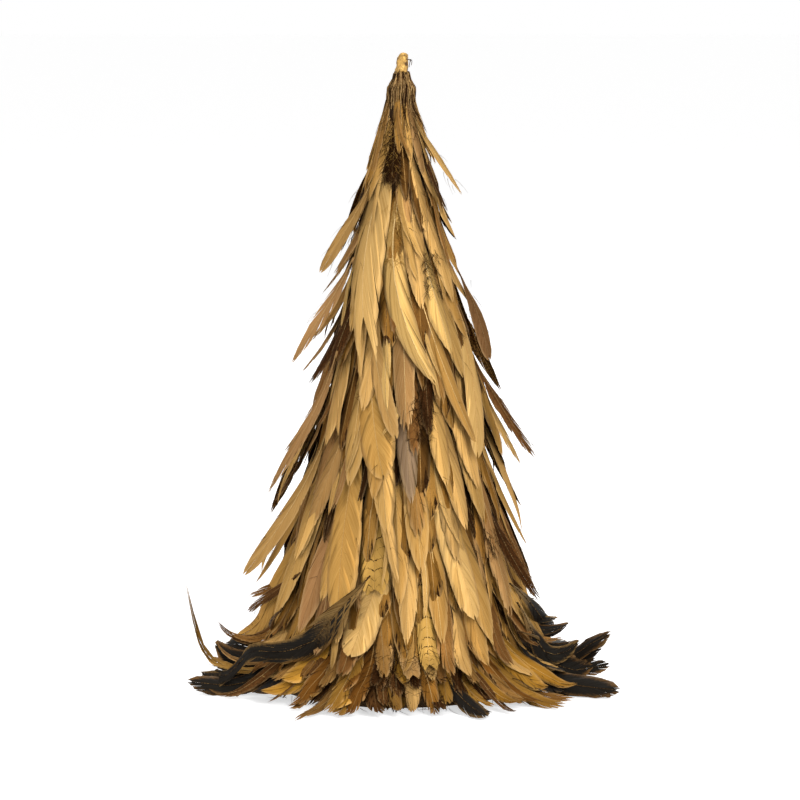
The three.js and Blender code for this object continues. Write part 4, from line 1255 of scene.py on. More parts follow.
def fill_paths(count, heights, reaches, rng):
    """Short skirt feathers that hide the cone's foot, evenly round it."""
    paths = []
    for i in range(count):
        azimuth = (i + rng.uniform(-LARGE_JITTER, LARGE_JITTER)) / count * TURN
        reach, height = rng.uniform(*reaches), rng.uniform(*heights)
        swing = rng.normal() * FILL_SWING
        ends = (azimuth, length_at_height(height)), (azimuth + swing, length_at_reach(reach))
        kinds = SIDE_FILL_KINDS if SIDE_TURNS[0] <= azimuth <= SIDE_TURNS[1] else FRONT_FILL_KINDS
        kind = kinds[rng.integers(len(kinds))]
        width, bow, lift = rng.uniform(*FILL_WIDTHS), FILL_BOW * rng.normal(), rng.uniform(0, FILL_LIFT)
        paths.append(Path(*ends, width, kind, bow, lift=lift))
        paths[-1].roll = rng.uniform(-FILL_ROLL, FILL_ROLL) * DEGREE
    return paths


# Feathers at the cone's foot: the reach and height of the tip, which is higher the nearer it is
FOOT_KINDS = ("fan", "under", "brown", "fan", "dark", "fan", "deep")
FOOT_REACHES = (104, 118)
FOOT_HEIGHTS = (0.5, 3)
FOOT_FLAT_REACH = 116
FOOT_RISE = 0.2
FOOT_SWING = 0.06
FOOT_WIDTHS = (0.5, 0.85)


def foot_paths(count, rng):
    """Feathers that hang down the cone's foot and turn out on the floor, evenly round it, as the hem does."""
    top = length_at_height(LOWER_SKIRT_HEIGHT)
    paths = []
    for i in range(count):
        azimuth = (i + rng.uniform(-SMALL_JITTER, SMALL_JITTER)) / count * TURN
        reach = rng.uniform(*FOOT_REACHES)
        height = rng.uniform(*FOOT_HEIGHTS) + (FOOT_FLAT_REACH - reach) * FOOT_RISE
        length, lift = to_guide(np.array(reach), np.array(height))
        kind = FOOT_KINDS[rng.integers(len(FOOT_KINDS))]
        ends = (azimuth, top), (azimuth + rng.normal() * FOOT_SWING, float(length))
        width, bow = rng.uniform(*FOOT_WIDTHS), FILL_BOW * rng.normal()
        paths.append(Path(*ends, width, kind, bow, lift=float(lift) - TAPE_SEAT))
    return paths


# Feathers that stand out of the skirt where the photograph shows them: azimuth in degrees and height of the
# root, azimuth, reach and height of the tip, width as a share of the vane's, kind and roll in degrees
SPRAYS = (
    (-84, 104, -91, 120, 68, 0.5, "bronze", -40),
    (-86, 86, -90, 145, 50, 0.5, "brown", -40),
    (-80, 74, -88, 136, 42, 0.36, "bronze", -40),
    (-70, 62, -80, 148, 35, 0.62, "cock", -60),
    (-66, 58, -78, 150, 40, 0.24, "tan", -40),
    (-60, 56, -73, 174, 11, 0.5, "cock", -45),
    (-52, 52, -65, 159, 4, 0.4, "brown", -30),
    (-34, 66, -47, 126, 20, 0.8, "amber", -35),
    (-34, 56, -50, 141, 12, 0.6, "amber", -30),
    (-24, 50, -29, 168, 1, 0.26, "bronze", -25),
    (-20, 50, -24, 142, 2, 0.7, "fan", -15),
    (-12, 50, -17, 141, 2, 0.7, "fan", 5),
    (-29, 50, -38, 140, 3, 0.6, "fan", -20),
    (-4, 50, -2, 128, 2, 0.4, "dark", 0),
    (4, 60, 4, 134, 4, 0.5, "gold", 5),
    (6, 46, 12, 136, 2, 0.5, "fan", 10),
    (12, 46, 25, 158, 2, 0.45, "cock", 15),
    (24, 52, 37, 155, 11, 0.42, "amber", 20),
    (26, 46, 35, 157, 4, 0.26, "brown", 15),
    (34, 54, 47, 148, 6, 0.5, "fan", 20),
    (38, 56, 50, 168, 4, 0.62, "fan", 30),
    (46, 66, 55, 141, 13, 0.62, "amber", 35),
    (50, 60, 65, 153, 12, 0.42, "amber", 40),
    (56, 54, 69, 184, 3, 0.6, "cock", 50),
    (60, 66, 80, 150, 17, 0.85, "dark", 60),
    (62, 62, 76, 156, 20, 0.6, "cock", 55),
    (70, 62, 86, 155, 22, 0.34, "cock", 45),
    (74, 70, 86, 160, 30, 0.42, "cock", 50),
    (74, 74, 83, 168, 44, 0.44, "cock", 50),
    (76, 80, 88, 142, 33, 0.46, "cock", 50),
    (80, 70, 90, 124, 51, 0.38, "cock", 45),
    (78, 68, 88, 133, 48, 0.44, "cock", 48),
    (82, 64, 92, 133, 45, 0.46, "cock", 48),
    (74, 104, 82, 98, 76, 0.24, "dark", 40),
    (70, 82, 78, 132, 42, 0.4, "bronze", 45),
)
SPRAY_BOW = 0.03


def spray_paths():
    paths = []
    for root, root_height, tip, reach, tip_height, width, kind, roll in SPRAYS:
        length, lift = to_guide(np.array(reach), np.array(tip_height))
        ends = (root * DEGREE, length_at_height(root_height)), (tip * DEGREE, float(length))
        paths.append(Path(*ends, width, kind, SPRAY_BOW, lift=float(lift) - TAPE_SEAT, sewn=False))
        paths[-1].roll = roll * DEGREE
    return paths


# The skirt, the lower row first: the count of its short feathers, and the heights and reaches they lie between
SKIRT_ROLL = 48
FOOT_COUNT = 108
LOWER_FILL = (52, (36, 50), (108, 148))
UPPER_FILL = (40, (50, 61), (104, 138))


def lower_skirt():
    heap = Heap()
    height = LOWER_SKIRT_HEIGHT
    paths = hem_paths() + skirt_paths(height, LOWER_SKIRT)
    lay_unseen(heap, foot_paths(FOOT_COUNT, rng_for(32)), (33,), PLAIN_GRID, LAY_GAP)
    lay_row(heap, height, paths, (30,), most_roll=SKIRT_ROLL)
    lay_unseen(heap, fill_paths(*LOWER_FILL, rng_for(34)), (35,), PLAIN_GRID, LAY_GAP)
    return heap


def upper_skirt():
    heap = Heap()
    height = UPPER_SKIRT_HEIGHT
    lay_row(heap, height, skirt_paths(height, UPPER_SKIRT), (31,), most_roll=SKIRT_ROLL)
    lay_unseen(heap, fill_paths(*UPPER_FILL, rng_for(36)), (37,), PLAIN_GRID, LAY_GAP)
    lay_unseen(heap, spray_paths(), (38,), FINE_GRID, LAY_GAP)
    return heap


pieces["skirt_lower_feathers"] = (lower_skirt(), "skirt_row_lower", "coque_feather")
pieces["skirt_upper_feathers"] = (upper_skirt(), "skirt_row_upper", "coque_feather")

# The rows up the cone
for row in reversed(range(ROW_COUNT)):
    heap = Heap()
    lay_unseen(heap, under_paths(row, rng_for(row, 1)), (row, 2), UNDER_GRID, UNDER_GAP)
    lay_unseen(heap, sliver_paths(row, rng_for(row, 3)), (row, 4), PLAIN_GRID, LAY_GAP)
    lay_row(heap, row_height(row), back_paths(row, draws) + front_paths(row), (row, 5))
    pieces[f"row_{row + 1:02d}_feathers"] = (heap, f"feather_row_{row + 1:02d}", "gilt_feather")

# The single feathers glued on last: how their lifts grow from root to tip, and how far they roll
CURL_POWER = 2.6
STRAY_SMOOTH_POWER = 1.3
STRAY_SLACK = 1
DROOP_POWER = 0.8
STRAY_POWER = 1.4
CURL_RISE = 38
STRAY_ROLL = 44
FLOOR_STRAY_ROLL = 30
STRAY_LOOSE_ROLL = 8
STRAY_ROLL_RISE = 0.25
STRAY_HAIRS = 8


def stray_feather(index, node, shares, kind, places):
    """One glued feather, settled on the rows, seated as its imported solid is, and then raised or curled."""
    heap = Heap()
    path = stray_path(shares, kind, **places)
    path.settle()
    seat_as_packed(path, node)
    path.load_pile()
    path.smooth(CURL_POWER if kind == "curl" else STRAY_SMOOTH_POWER, STRAY_SLACK)
    if not places.get("floor"):
        power = DROOP_POWER if kind == "drooping" else STRAY_POWER
        path.lifts = path.lifts[0] + (path.lifts[-1] - path.lifts[0]) * path.shares**power
        path.lifts -= (1 - close_share(path.root[1]) ** 2) * path.lifts[0] * (1 - path.shares) ** 2
    if kind == "curl":
        path.lifts[-1] += CURL_RISE
    most = FLOOR_STRAY_ROLL if kind == "sickle" else STRAY_ROLL
    path.roll = roll_for(path.tip[0], rng_for(41, index), most, STRAY_LOOSE_ROLL)
    raise_for_roll(path, STRAY_ROLL_RISE)
    add_feather(heap, path, rng_for(40, index), hairs=STRAY_HAIRS)
    return heap


slots = {part["node"]: part["material_slot"] for part in frame["record"]["subparts"]}
for index, (node, (shares, kind, places)) in enumerate(STRAYS.items()):
    pieces[f"{node}_feather"] = (stray_feather(index, node, shares, kind, places), node, slots[node])

# Down that shows between the feathers at the top and lower down
DARK_DOWN = colour("#1d130a")
BROWN_DOWN = colour("#5b4123")
GILT_DOWN = colour("#a8803c")
WIDEST_SINE = 0.95
rng = rng_for(50)


def down_patch(piece, side, height, wide, high, count, span, dye, cover):
    """Fluff round one place, given by its side and height in hundredths, and the half size of the patch."""
    heights = (height + rng.uniform(-high, high, count)) * HUNDREDTH
    sides = (side + rng.uniform(-wide, wide, count)) * HUNDREDTH
    radius = cone_radius(heights) + CONE_TOP_RADIUS + PILE_GROWTH * (1 - heights / OVERALL_HEIGHT)
    azimuths = np.arcsin(np.clip(sides / radius, -WIDEST_SINE, WIDEST_SINE))
    add_fluff(pieces[piece][0], azimuths, heights, rng, span, dye, cover)


# Piece, side, height and half sizes in hundredths, number of strands, their reach, colour and paint
DOWN_PATCHES = (
    ("row_02_feathers", -1, 84, 1.3, 4, 320, 9, DARK_DOWN, 0.05),
    ("row_02_feathers", -1.2, 84.5, 1.2, 4.5, 240, 8, BROWN_DOWN, 0.2),
    ("row_01_feathers", -1.2, 86, 1, 4.5, 200, 9, DARK_DOWN, 0.05),
    ("row_01_feathers", 1.4, 89, 0.9, 3.5, 60, 7, BROWN_DOWN, 0.1),
    ("row_01_feathers", -1.2, 85.5, 1.1, 4, 120, 8, GILT_DOWN, 0.7),
    ("row_04_feathers", -0.8, 72, 1, 4.5, 240, 8, GILT_DOWN, 0.9),
    ("row_05_feathers", 4.6, 66, 1.2, 3.5, 160, 8, BROWN_DOWN, 0.2),
    ("row_07_feathers", 3.4, 44, 1.6, 3.5, 200, 9, BROWN_DOWN, 0.2),
    ("row_10_feathers", 13, 24, 1.6, 2, 160, 9, BROWN_DOWN, 0.2),
    ("row_16_feathers", 0.5, 6, 5, 3, 160, 14, DARK_DOWN, 0.05),
)
for patch in DOWN_PATCHES:
    down_patch(*patch)

# Down along every row: strands for each millimetre of its radius, and heights about the row's
ROW_DOWN_SHARE = 0.25
ROW_DOWN_HEIGHTS = (-10, 4)
ROW_DOWN_SPAN = 9
ROW_DOWN_SHADE = 0.5
for row in range(ROW_COUNT):
    height = row_height(row)
    count = round(dressed_radius(height) * ROW_DOWN_SHARE)
    azimuths = rng.uniform(0, TURN, count)
    heights = height + rng.uniform(*ROW_DOWN_HEIGHTS, count)
    heap = pieces[f"row_{row + 1:02d}_feathers"][0]
    add_fluff(heap, azimuths, heights, rng, ROW_DOWN_SPAN, BROWN_DOWN * ROW_DOWN_SHADE)

# Quills and barbs gathered under the tip: each colour with the share of it that paint covers
NECK_COLOURS = (
    ("#b9955c", 0.6),
    ("#8f6e42", 0.6),
    ("#6a4c2a", 0.6),
    ("#2c1e12", 0.2),
    ("#a5824c", 0.6),
    ("#453018", 0.2),
)
NECK_COUNT = 70
NECK_STATIONS = 9
NECK_RADII = (0.22, 0.6)
NECK_TAPER = 0.35
NECK_SWING = 0.25
NECK_STARTS = (-1.5, 6)
NECK_REACHES = (12, 46)
NECK_INSIDE = 1.4
NECK_BULGE = 7.4
NECK_BULGES = (0.6, 1.05)
NECK_BULGE_DEPTHS = (-1, 13)
NECK_LIFTS = (-0.8, 1.6)
NECK_CLEARANCE = 0.4
NECK_WAVE = 0.5
NECK_WAVES = (3, 9)
NECK_LEAN = 1.4
NECK_LEAN_DEPTHS = (40, 0)


def neck_lines(count, rng):
    """Lines that leave the tip's foot, bulge out by a smooth step of their depth and then lie on the rows."""
    column = (count, 1)
    q = np.linspace(0, 1, NECK_STATIONS)
    azimuth = rng.uniform(0, TURN, column) + rng.normal(size=column) * NECK_SWING * q
    depth = rng.uniform(*NECK_STARTS, column) + q * rng.uniform(*NECK_REACHES, column)
    swell = NECK_BULGE * rng.uniform(*NECK_BULGES, column) * smooth_step(*NECK_BULGE_DEPTHS, depth)
    bulge = CONE_TOP_RADIUS + NECK_INSIDE + swell
    length = (APEX_HEIGHT - CAP_FOOT + depth) / math.cos(CONE_LEAN)
    lift = pile[pile_cells(azimuth, length)] * close_share(length) + rng.uniform(*NECK_LIFTS, column)
    rows = on_guide(length, np.maximum(lift, FIT_GAP + TAPE_THICKNESS + NECK_CLEARANCE))[0]
    radius = np.maximum(bulge, rows) + NECK_WAVE * np.sin(q * rng.uniform(*NECK_WAVES, column))
    lean = NECK_LEAN * smooth_step(*NECK_LEAN_DEPTHS, depth)
    return np.stack([radius * np.sin(azimuth) + lean, -radius * np.cos(azimuth), CAP_FOOT - depth], axis=-1)


top_heap = pieces["row_01_feathers"][0]
for code, cover in NECK_COLOURS:
    lines = neck_lines(NECK_COUNT, rng)
    radii = rng.uniform(*NECK_RADII, (NECK_COUNT, 1)) * np.linspace(1, NECK_TAPER, NECK_STATIONS)
    add_strands(top_heap, lines, radii, colour(code), cover)

# Wisps that curl out beside the tip: how far out each goes, how far down, and how much it waves
WISPS = ((5.5, 3, 4.4), (4.2, 4.5, 5.2), (3.4, 1.6, 3.2))
WISP_START = (4.4, -1, 493.5)
WISP_PAINT = 0.3
WISP_ARC = 1.5
WISP_SWAY = 1.2
WISP_BACK = 0.8
WISP_RADII = (0.4, 0.2)
q = np.linspace(0, 1, NECK_STATIONS)
for out, drop, turn in WISPS:
    wave = np.sin(q * turn)
    side = WISP_START[0] + out * np.sin(q * WISP_ARC) + WISP_SWAY * wave
    wisp = [side, WISP_START[1] + WISP_BACK * q, WISP_START[2] - drop * q**2 + wave]
    radii = np.linspace(*WISP_RADII, NECK_STATIONS)[None]
    add_strands(top_heap, np.stack(wisp, axis=-1)[None], radii, BROWN_DOWN, WISP_PAINT)

# Dark barbs that curl on the floor at the foot, more of them in front: count, spread either way and reach
FLOOR_BARBS = ((300, math.pi, 15), (50, 0.4, 11))
FLOOR_BARB_HEIGHTS = (4, 18)
FLOOR_BARB_RADIUS = 0.25
foot_heap = pieces["skirt_lower_feathers"][0]
for count, spread, span in FLOOR_BARBS:
    azimuths = rng.uniform(-spread, spread, count)
    heights = rng.uniform(*FLOOR_BARB_HEIGHTS, count)
    add_fluff(foot_heap, azimuths, heights, rng, span, DARK_DOWN, BARE_PAINT, FLOOR_BARB_RADIUS)


# The materials

def add_node(tree, kind, inputs=(), **settings):
    """Adds a shader node. Inputs, in order or by socket: values, outputs, or nodes for the first output."""
    node = tree.nodes.new("ShaderNode" + kind)
    for name, value in settings.items():
        setattr(node, name, value)
    for name, value in inputs.items() if isinstance(inputs, dict) else enumerate(inputs):
        if isinstance(value, bpy.types.Node):
            value = value.outputs[0]
        if isinstance(value, bpy.types.NodeSocket):
            tree.links.new(value, node.inputs[name])
        else:
            node.inputs[name].default_value = value
    return node


def new_material(name):
    """A material without nodes, and add_node bound to its tree."""
    material = bpy.data.materials.new(name)
    material.use_nodes = True
    material.node_tree.nodes.clear()
    return material, partial(add_node, material.node_tree)


def rgba(code):
    return (*colour(code), 1)


# Barbs lie about half a millimetre apart, too fine to show, so their streaks are drawn at 1.1 mm
BARB_STREAK = 1.1
CLUMP_STREAK = 5
STREAK_WAVES = 0.9
CLUMP_STREAK_SHARE = 0.28
STREAK_RANGE = (0.3, 0.7)
# How much of each colour the dark streaks lose and the light streaks gain
LOW_STREAK = np.array([0.8, 1, 1.3])
HIGH_STREAK = np.array([0.6, 0.9, 2])
PAINT_SPECKLE = 1.6
COVER_RANGE = (0.15, 0.75)
# Towards the vane's edge the colour mixes into the edge colour: on the gold feathers a painted highlight along
# the rims, on the cock feathers their bronze fringe
EDGE_START = 0.72
RIM_HIGHLIGHT_AND_FRINGE = 0.3
BARE_ROUGHNESS = 0.62
FEATHER_GLOSS = 0.03
BARB_BUMP = 0.28
BARB_DEPTH = 0.4
# Cracks across a vane: their slant, the millimetres between them, and how they wobble, gather and widen
CRACK_SLANT = 0.81
CRACK_SPACING = 4
CRACK_WOBBLE = 0.14
CRACK_PATCH = 9
CRACK_PATCH_RANGE = (0.38, 0.6)
CRACK_WIDTHS = (0.02, 0.11)
CRACK_EDGE_RANGE = (0.45, 0.7)


def barb_noise(add, barbs, spacing):
    """Noise drawn out along the barbs, whose waves across them are a spacing in millimetres apart."""
    mapping = add("Mapping", {"Vector": barbs, "Scale": (STREAK_WAVES, VANE_WIDTH / spacing, 1)})
    return add("TexNoise", {"Vector": mapping, "Scale": 1, "Detail": 2}).outputs["Fac"]


def cracks(add, out, row, spots, place):
    """One where a crack runs: slanted lines that wobble, wide in patches, and none near the vane's edge."""
    slanted = add("Math", (out, CRACK_SLANT, row), operation="MULTIPLY_ADD")
    wobbled = add("Math", (spots, CRACK_WOBBLE, slanted), operation="MULTIPLY_ADD")
    scaled = add("Math", (wobbled, VANE_WIDTH / CRACK_SPACING), operation="MULTIPLY")
    gap = add("Math", (scaled, 1), operation="PINGPONG")
    patches = add("TexNoise", {"Vector": place, "Scale": 1 / (CRACK_PATCH * MM), "Detail": 2})
    width = add("MapRange", (patches.outputs["Fac"], *CRACK_PATCH_RANGE, *CRACK_WIDTHS))
    inner = add("MapRange", (out, *CRACK_EDGE_RANGE, 1, 0))
    width = add("Math", (width, inner), operation="MULTIPLY")
    return add("Math", (gap, width), operation="LESS_THAN")


def feather_material(name, bare, edge, streak_depth, roughness, metallic, speckle, gloss, crazed=False):
    """Barbs run along the first coordinate of the barbs map and side by side along the second."""
    low, high = 1 - streak_depth * LOW_STREAK, 1 + streak_depth * HIGH_STREAK
    material, add = new_material(name)
    dye = add("Attribute", attribute_name="dye")
    barbs = add("Attribute", attribute_name="barbs").outputs["Vector"]
    place = add("TexCoord").outputs["Object"]
    parts = add("SeparateXYZ", (barbs,))
    out = add("Math", (parts.outputs["X"],), operation="ABSOLUTE")

    fine, coarse = [barb_noise(add, barbs, spacing) for spacing in (BARB_STREAK, CLUMP_STREAK)]
    both = add("Mix", {"Factor": CLUMP_STREAK_SHARE, 2: fine, 3: coarse})
    streak = add("MapRange", (both, *STREAK_RANGE))
    tint = add("Mix", {"Factor": streak, 6: (*low, 1), 7: (*high, 1)}, data_type="RGBA").outputs[2]

    spots = add("TexNoise", {"Vector": place, "Scale": 1 / (PAINT_SPECKLE * MM), "Detail": 3}).outputs["Fac"]
    spotted = add("Math", (spots, 0.5), operation="SUBTRACT")
    spotted = add("Math", (spotted, speckle, dye.outputs["Alpha"]), operation="MULTIPLY_ADD")
    ragged = add("Math", (fine, 0.5), operation="SUBTRACT")
    cover = add("Math", (ragged, speckle, spotted), operation="MULTIPLY_ADD")
    cover = add("MapRange", (cover, *COVER_RANGE), interpolation_type="SMOOTHSTEP")

    painted = add("VectorMath", (dye.outputs["Color"], tint), operation="MULTIPLY")
    # Painted highlight along the gold vanes' rims, and the bronze fringe of the cock feathers
    light = add("MapRange", (out, EDGE_START, 1, 0, RIM_HIGHLIGHT_AND_FRINGE))
    lit = add("Mix", {"Factor": light, 6: painted, 7: rgba(edge)}, data_type="RGBA").outputs[2]
    raw = add("VectorMath", (rgba(bare)[:3], tint), operation="MULTIPLY")
    mixed = add("Mix", {"Factor": cover, 6: raw, 7: lit}, data_type="RGBA").outputs[2]
    if crazed:
        crack = cracks(add, out, parts.outputs["Y"], spots, place)
        mixed = add("Mix", {"Factor": crack, 6: mixed, 7: rgba(bare)}, data_type="RGBA").outputs[2]
    looks = {
        "Base Color": mixed,
        "Metallic": add("Math", (cover, metallic), operation="MULTIPLY"),
        "Roughness": add("MapRange", (cover, 0, 1, BARE_ROUGHNESS, roughness)),
        "Normal": add("Bump", {"Strength": BARB_BUMP, "Distance": BARB_DEPTH * MM, "Height": both}),
        "Specular IOR Level": FEATHER_GLOSS,
    }
    add("OutputMaterial", {"Surface": add("BsdfPrincipled", {**looks, **gloss})})
    return material


# Gold spray on dyed goose feather: satin, streaked along the barbs, worn through to brown in specks
gilt = feather_material(
    "gold_sprayed_feather",
    bare="#2c190a",
    # The edge colour is a painted highlight along the rims
    edge="#cdab78",
    streak_depth=0.32,
    roughness=0.45,
    metallic=0.4,
    speckle=0.9,
    gloss={"Specular Tint": rgba("#e6c596")},
)
# Cock's tail feather: black with a green and bronze gloss that runs with the barbs
cock = feather_material(
    "cock_tail_feather",
    bare="#1e1811",
    edge="#7a5c34",
    streak_depth=0.7,
    roughness=0.38,
    metallic=0.3,
    speckle=0.5,
    gloss={"Specular IOR Level": 0.14, "Specular Tint": rgba("#aebfae")},
)
# Thick gold paint on a stiff feather, cracked across like a ladder
crazed = feather_material(
    "crazed_gold_paint",
    bare="#2f1d0d",
    # The edge colour is a painted highlight along the rims
    edge="#cfa357",
    streak_depth=0.15,
    roughness=0.4,
    metallic=0.45,
    speckle=0.3,
    gloss={},
    crazed=True,
)

THREAD = 1.4


def woven_tape():
    """Dark cotton tape: plain weave, drawn coarser than the real one at 1.4 mm a thread, so it shows."""
    material, add = new_material("woven_cotton_tape")
    barbs = add("Attribute", attribute_name="barbs").outputs["Vector"]
    mapping = add("Mapping", {"Vector": barbs, "Scale": [VANE_WIDTH / THREAD] * 3})
    checks = add("TexChecker", {"Vector": mapping, "Scale": 1}).outputs["Fac"]
    woven = add("Mix", {"Factor": checks, 6: rgba(TAPE_COLOUR), 7: rgba("#2a1d12")}, data_type="RGBA")
    looks = {
        "Base Color": woven.outputs[2],
        "Roughness": 0.9,
        "Specular IOR Level": 0.05,
        "Normal": add("Bump", {"Strength": 0.6, "Distance": 0.3 * MM, "Height": checks}),
    }
    add("OutputMaterial", {"Surface": add("BsdfPrincipled", looks)})
    return material


GLUE_LUMP = 2.2
GLUE_HOLLOW_SHADE_RANGE = (0.36, 0.5)


def painted_glue():
    """Hot glue under gold paint: lumpy and satin, with brown painted into its hollows as shade."""
    material, add = new_material("gold_painted_glue")
    place = add("TexCoord").outputs["Object"]
    lumps = add("TexNoise", {"Vector": place, "Scale": 1 / (GLUE_LUMP * MM), "Detail": 4}).outputs["Fac"]
    # Brown where the lumps dip: painted shade in the hollows
    hollow_shade = add("MapRange", (lumps, *GLUE_HOLLOW_SHADE_RANGE))
    gold = add("Mix", {"Factor": hollow_shade, 6: rgba("#5a3d1c"), 7: rgba("#c79b50")}, data_type="RGBA")
    looks = {
        "Base Color": gold.outputs[2],
        "Metallic": 0.5,
        "Roughness": 0.4,
        "Normal": add("Bump", {"Strength": 0.8, "Distance": 0.8 * MM, "Height": lumps}),
    }
    add("OutputMaterial", {"Surface": add("BsdfPrincipled", looks)})
    return material


# Millimetres of board for each wave: fibres about 3 mm long and 0.7 mm thick, and lines 60 mm apart
FIBRE_SIZE = (10 / 3, 10 / 3, 5 / 7)
WOUND_PITCH = 60
WOUND_SHARE = 0.25


def rolled_board():
    """Rolled grey-brown board: short fibres and a faint wound line."""
    material, add = new_material("rolled_kraft_board")
    place = add("TexCoord").outputs["Object"]
    mapping = add("Mapping", {"Vector": place, "Scale": [1 / (size * MM) for size in FIBRE_SIZE]})
    fibres = add("TexNoise", {"Vector": mapping, "Scale": 1, "Detail": 4}).outputs["Fac"]
    lines = {"Vector": place, "Scale": 1 / (WOUND_PITCH * MM) / TURN * 2, "Distortion": 1}
    wound = add("TexWave", lines, bands_direction="Z").outputs["Fac"]
    tone = add("Mix", {"Factor": WOUND_SHARE, 2: fibres, 3: wound})
    kraft = add("Mix", {"Factor": tone, 6: rgba("#6d5236"), 7: rgba("#9a7a55")}, data_type="RGBA")
    looks = {
        "Base Color": kraft.outputs[2],
        "Roughness": 0.85,
        "Normal": add("Bump", {"Strength": 0.3, "Distance": 0.2 * MM, "Height": fibres}),
    }
    add("OutputMaterial", {"Surface": add("BsdfPrincipled", looks)})
    return material


tape = woven_tape()
glue = painted_glue()
board = rolled_board()

# The pieces

SHARP_ANGLE = 75 * DEGREE


def new_piece(name, points, faces, node):
    """A mesh of quads in metres with smooth faces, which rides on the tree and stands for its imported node."""
    mesh = bpy.data.meshes.new(name)
    mesh.vertices.add(len(points))
    mesh.vertices.foreach_set("co", (points * MM).astype(np.float32).ravel())
    mesh.loops.add(faces.size)
    mesh.loops.foreach_set("vertex_index", faces.astype(np.int32).ravel())
    mesh.polygons.add(len(faces))
    mesh.polygons.foreach_set("loop_start", np.arange(0, faces.size, faces.shape[1], dtype=np.int32))
    mesh.update(calc_edges=True)
    mesh.validate()
    mesh.shade_smooth()
    piece = bpy.data.objects.new(name, mesh)
    bpy.context.scene.collection.objects.link(piece)
    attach(piece, "root")
    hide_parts(node)
    return piece


for name, (heap, node, slot) in pieces.items():
    points = np.concatenate(heap.points)
    points[:, 2] = np.maximum(points[:, 2], LEAST_LIFT_OVER_FLOOR)
    faces = np.concatenate(heap.faces)
    piece = new_piece(name, points, faces, node)
    mesh = piece.data
    mesh.set_sharp_from_angle(angle=SHARP_ANGLE)
    barbs = np.concatenate(heap.barbs).astype(np.float32)
    mesh.attributes.new("barbs", "FLOAT2", "POINT").data.foreach_set("vector", barbs.ravel())
    dyes = np.concatenate(heap.dyes).astype(np.float32)
    mesh.attributes.new("dye", "FLOAT_COLOR", "POINT").data.foreach_set("color", dyes.ravel())
    for material in (gilt, cock, crazed, tape):
        mesh.materials.append(material)
    mesh.polygons.foreach_set("material_index", np.concatenate(heap.finishes).astype(np.int32))

# The tip's radius and height, ring by ring: five inside, which cover the cone's end, then up the outside
TIP_PROFILE = (
    (0, 490.6), (1.5, 490.5), (2.4, 490.2), (3.2, 487), (3.7, 484.2), (4.3, 483.6), (5, 484.6),
    (5.1, 486.5), (4.6, 489), (4.5, 491), (4.6, 493), (4.2, 495.5), (3.4, 497.8), (2, 499.3), (0, 499.7),
)
TIP_INSIDE = 5
TIP_SEGMENTS = 40
# Depth of each sine of the lumps, its waves round the tip and its twist with the height
TIP_LUMPS = ((0.1, 3, 0.7), (0.06, 5, -1.3))
# Depth of each sine of the foot, and its waves round the tip
TIP_DRIPS = ((0.9, 4), (0.5, 7))
TIP_FOOT_RADII = (4, 5.2)
TIP_FOOT_HEIGHT = 486
TIP_LEAN = 1.2
TIP_LEAN_HEIGHTS = (486, 500)


def tip_points():
    """The profile turned about the axis: lumps scale its outside, drips shift its foot, and it leans."""
    radii, heights = np.array(TIP_PROFILE).T
    turn = np.arange(TIP_SEGMENTS)[:, None] / TIP_SEGMENTS * TURN
    outside = np.arange(len(radii)) >= TIP_INSIDE
    lumps = [deep * np.sin(waves * turn + heights * twist) for deep, waves, twist in TIP_LUMPS]
    lump = 1 + outside * sum(lumps)
    foot = (radii > TIP_FOOT_RADII[0]) & (radii < TIP_FOOT_RADII[1]) & (heights < TIP_FOOT_HEIGHT)
    sagged = heights + foot * sum(deep * np.sin(waves * turn) for deep, waves in TIP_DRIPS)
    lean = NECK_LEAN + TIP_LEAN * smooth_step(*TIP_LEAN_HEIGHTS, heights)
    return np.stack([radii * lump * np.sin(turn) + lean, -radii * lump * np.cos(turn), sagged], axis=-1)


points = tip_points()
ring = np.arange(points.shape[0] * points.shape[1]).reshape(points.shape[:2])
after = np.roll(ring, -1, axis=0)
faces = np.stack([ring[:, :-1], after[:, :-1], after[:, 1:], ring[:, 1:]], -1).reshape(-1, 4)
tip = new_piece("gold_glue_tip", points.reshape(-1, 3), faces, "tip_cap")
tip.data.materials.append(glue)

for name in ("cone_shell", "base_disc"):
    for material_slot in frame["nodes"][name].material_slots:
        material_slot.material = board

# The floor, the lamps and the camera

WHITE = (1, 1, 1, 1)
SKY_LIGHT = 0.4
FLOOR_GLOW = 0.62


def seen_directly(add):
    """Share of a ray that comes straight from the camera, or by way of gloss or glass."""
    rays = add("LightPath")
    seen = rays.outputs["Is Camera Ray"]
    for name in ("Is Glossy Ray", "Is Transmission Ray"):
        seen = add("Math", (seen, rays.outputs[name]), operation="MAXIMUM")
    return seen


world = bpy.data.worlds.new("white_room")
world.use_nodes = True
world.node_tree.nodes.clear()
add = partial(add_node, world.node_tree)
strength = add("MapRange", (seen_directly(add), 0, 1, SKY_LIGHT, 1))
add("OutputWorld", {"Surface": add("Background", {"Color": WHITE, "Strength": strength})})
bpy.context.scene.world = world

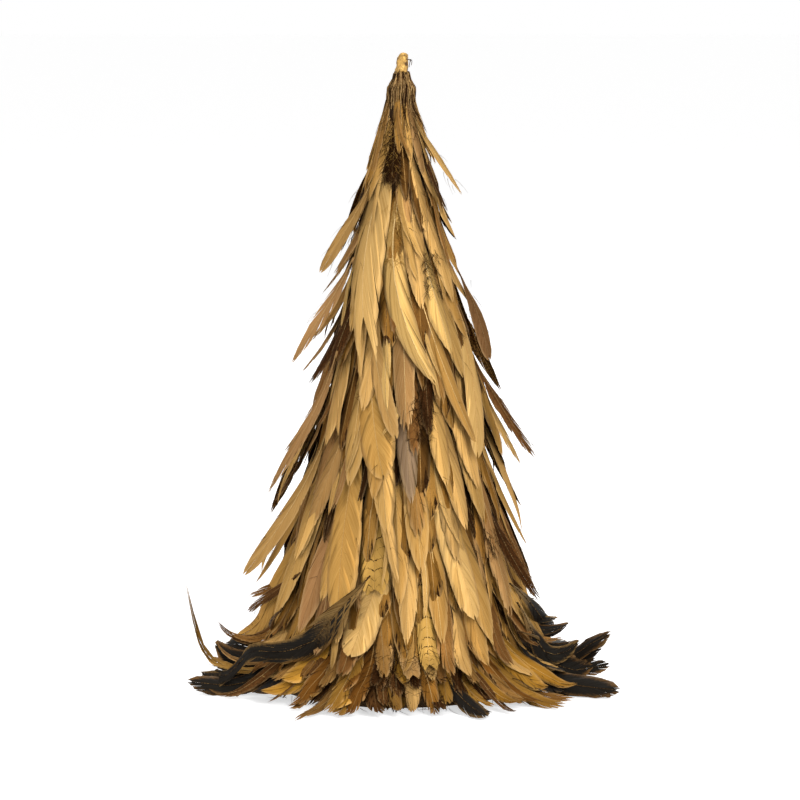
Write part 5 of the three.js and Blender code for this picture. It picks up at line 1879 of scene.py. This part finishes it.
paper, add = new_material("white_paper_floor")
looks = {
    "Base Color": rgba("#e6e6e6"),
    "Roughness": 0.9,
    "Emission Color": WHITE,
    "Emission Strength": add("Math", (seen_directly(add), FLOOR_GLOW), operation="MULTIPLY"),
}
add("OutputMaterial", {"Surface": add("BsdfPrincipled", looks)})
# Half the floor's side, in metres
FLOOR_HALF = 6
FLOOR_CORNERS = ((-1, -1), (1, -1), (1, 1), (-1, 1))
mesh = bpy.data.meshes.new("paper_floor")
mesh.from_pydata([(x * FLOOR_HALF, y * FLOOR_HALF, 0) for x, y in FLOOR_CORNERS], [], [(0, 1, 2, 3)])
mesh.materials.append(paper)
floor = bpy.data.objects.new("paper_floor", mesh)
bpy.context.scene.collection.objects.link(floor)

# What the lamps and the camera look at, in metres
MIDDLE = Vector((0, 0, 0.226))


def add_lamp(name, place, size, power):
    """A white square lamp that faces the middle: its place and size in metres, its power in watts."""
    lamp = bpy.data.lights.new(name, "AREA")
    lamp.size = size
    lamp.energy = power
    holder = bpy.data.objects.new(name, lamp)
    holder.location = place
    holder.rotation_euler = (MIDDLE - Vector(place)).to_track_quat("-Z", "Y").to_euler()
    bpy.context.scene.collection.objects.link(holder)


add_lamp("key_softbox", (0.9, -1.5, 1.3), 1, 26)
add_lamp("fill_softbox", (-1.6, -1, 0.7), 1.2, 8)
add_lamp("top_softbox", (0, 0.4, 1.9), 1, 9)
add_lamp("back_softbox", (0.4, 1.7, 1), 1.2, 9)

CAMERA_DISTANCE = 4
CAMERA_LENS = 229
CAMERA_SENSOR = 36
camera = bpy.data.cameras.new("studio_camera")
camera.lens = CAMERA_LENS
camera.sensor_width = CAMERA_SENSOR
camera.sensor_fit = "HORIZONTAL"
holder = bpy.data.objects.new("studio_camera", camera)
back, up = math.cos(CAMERA_RISE), math.sin(CAMERA_RISE)
holder.location = MIDDLE + CAMERA_DISTANCE * Vector((0, -back, up))
holder.rotation_euler = (MIDDLE - holder.location).to_track_quat("-Z", "Y").to_euler()
bpy.context.scene.collection.objects.link(holder)
bpy.context.scene.camera = holder

bpy.context.scene.view_settings.view_transform = "Standard"
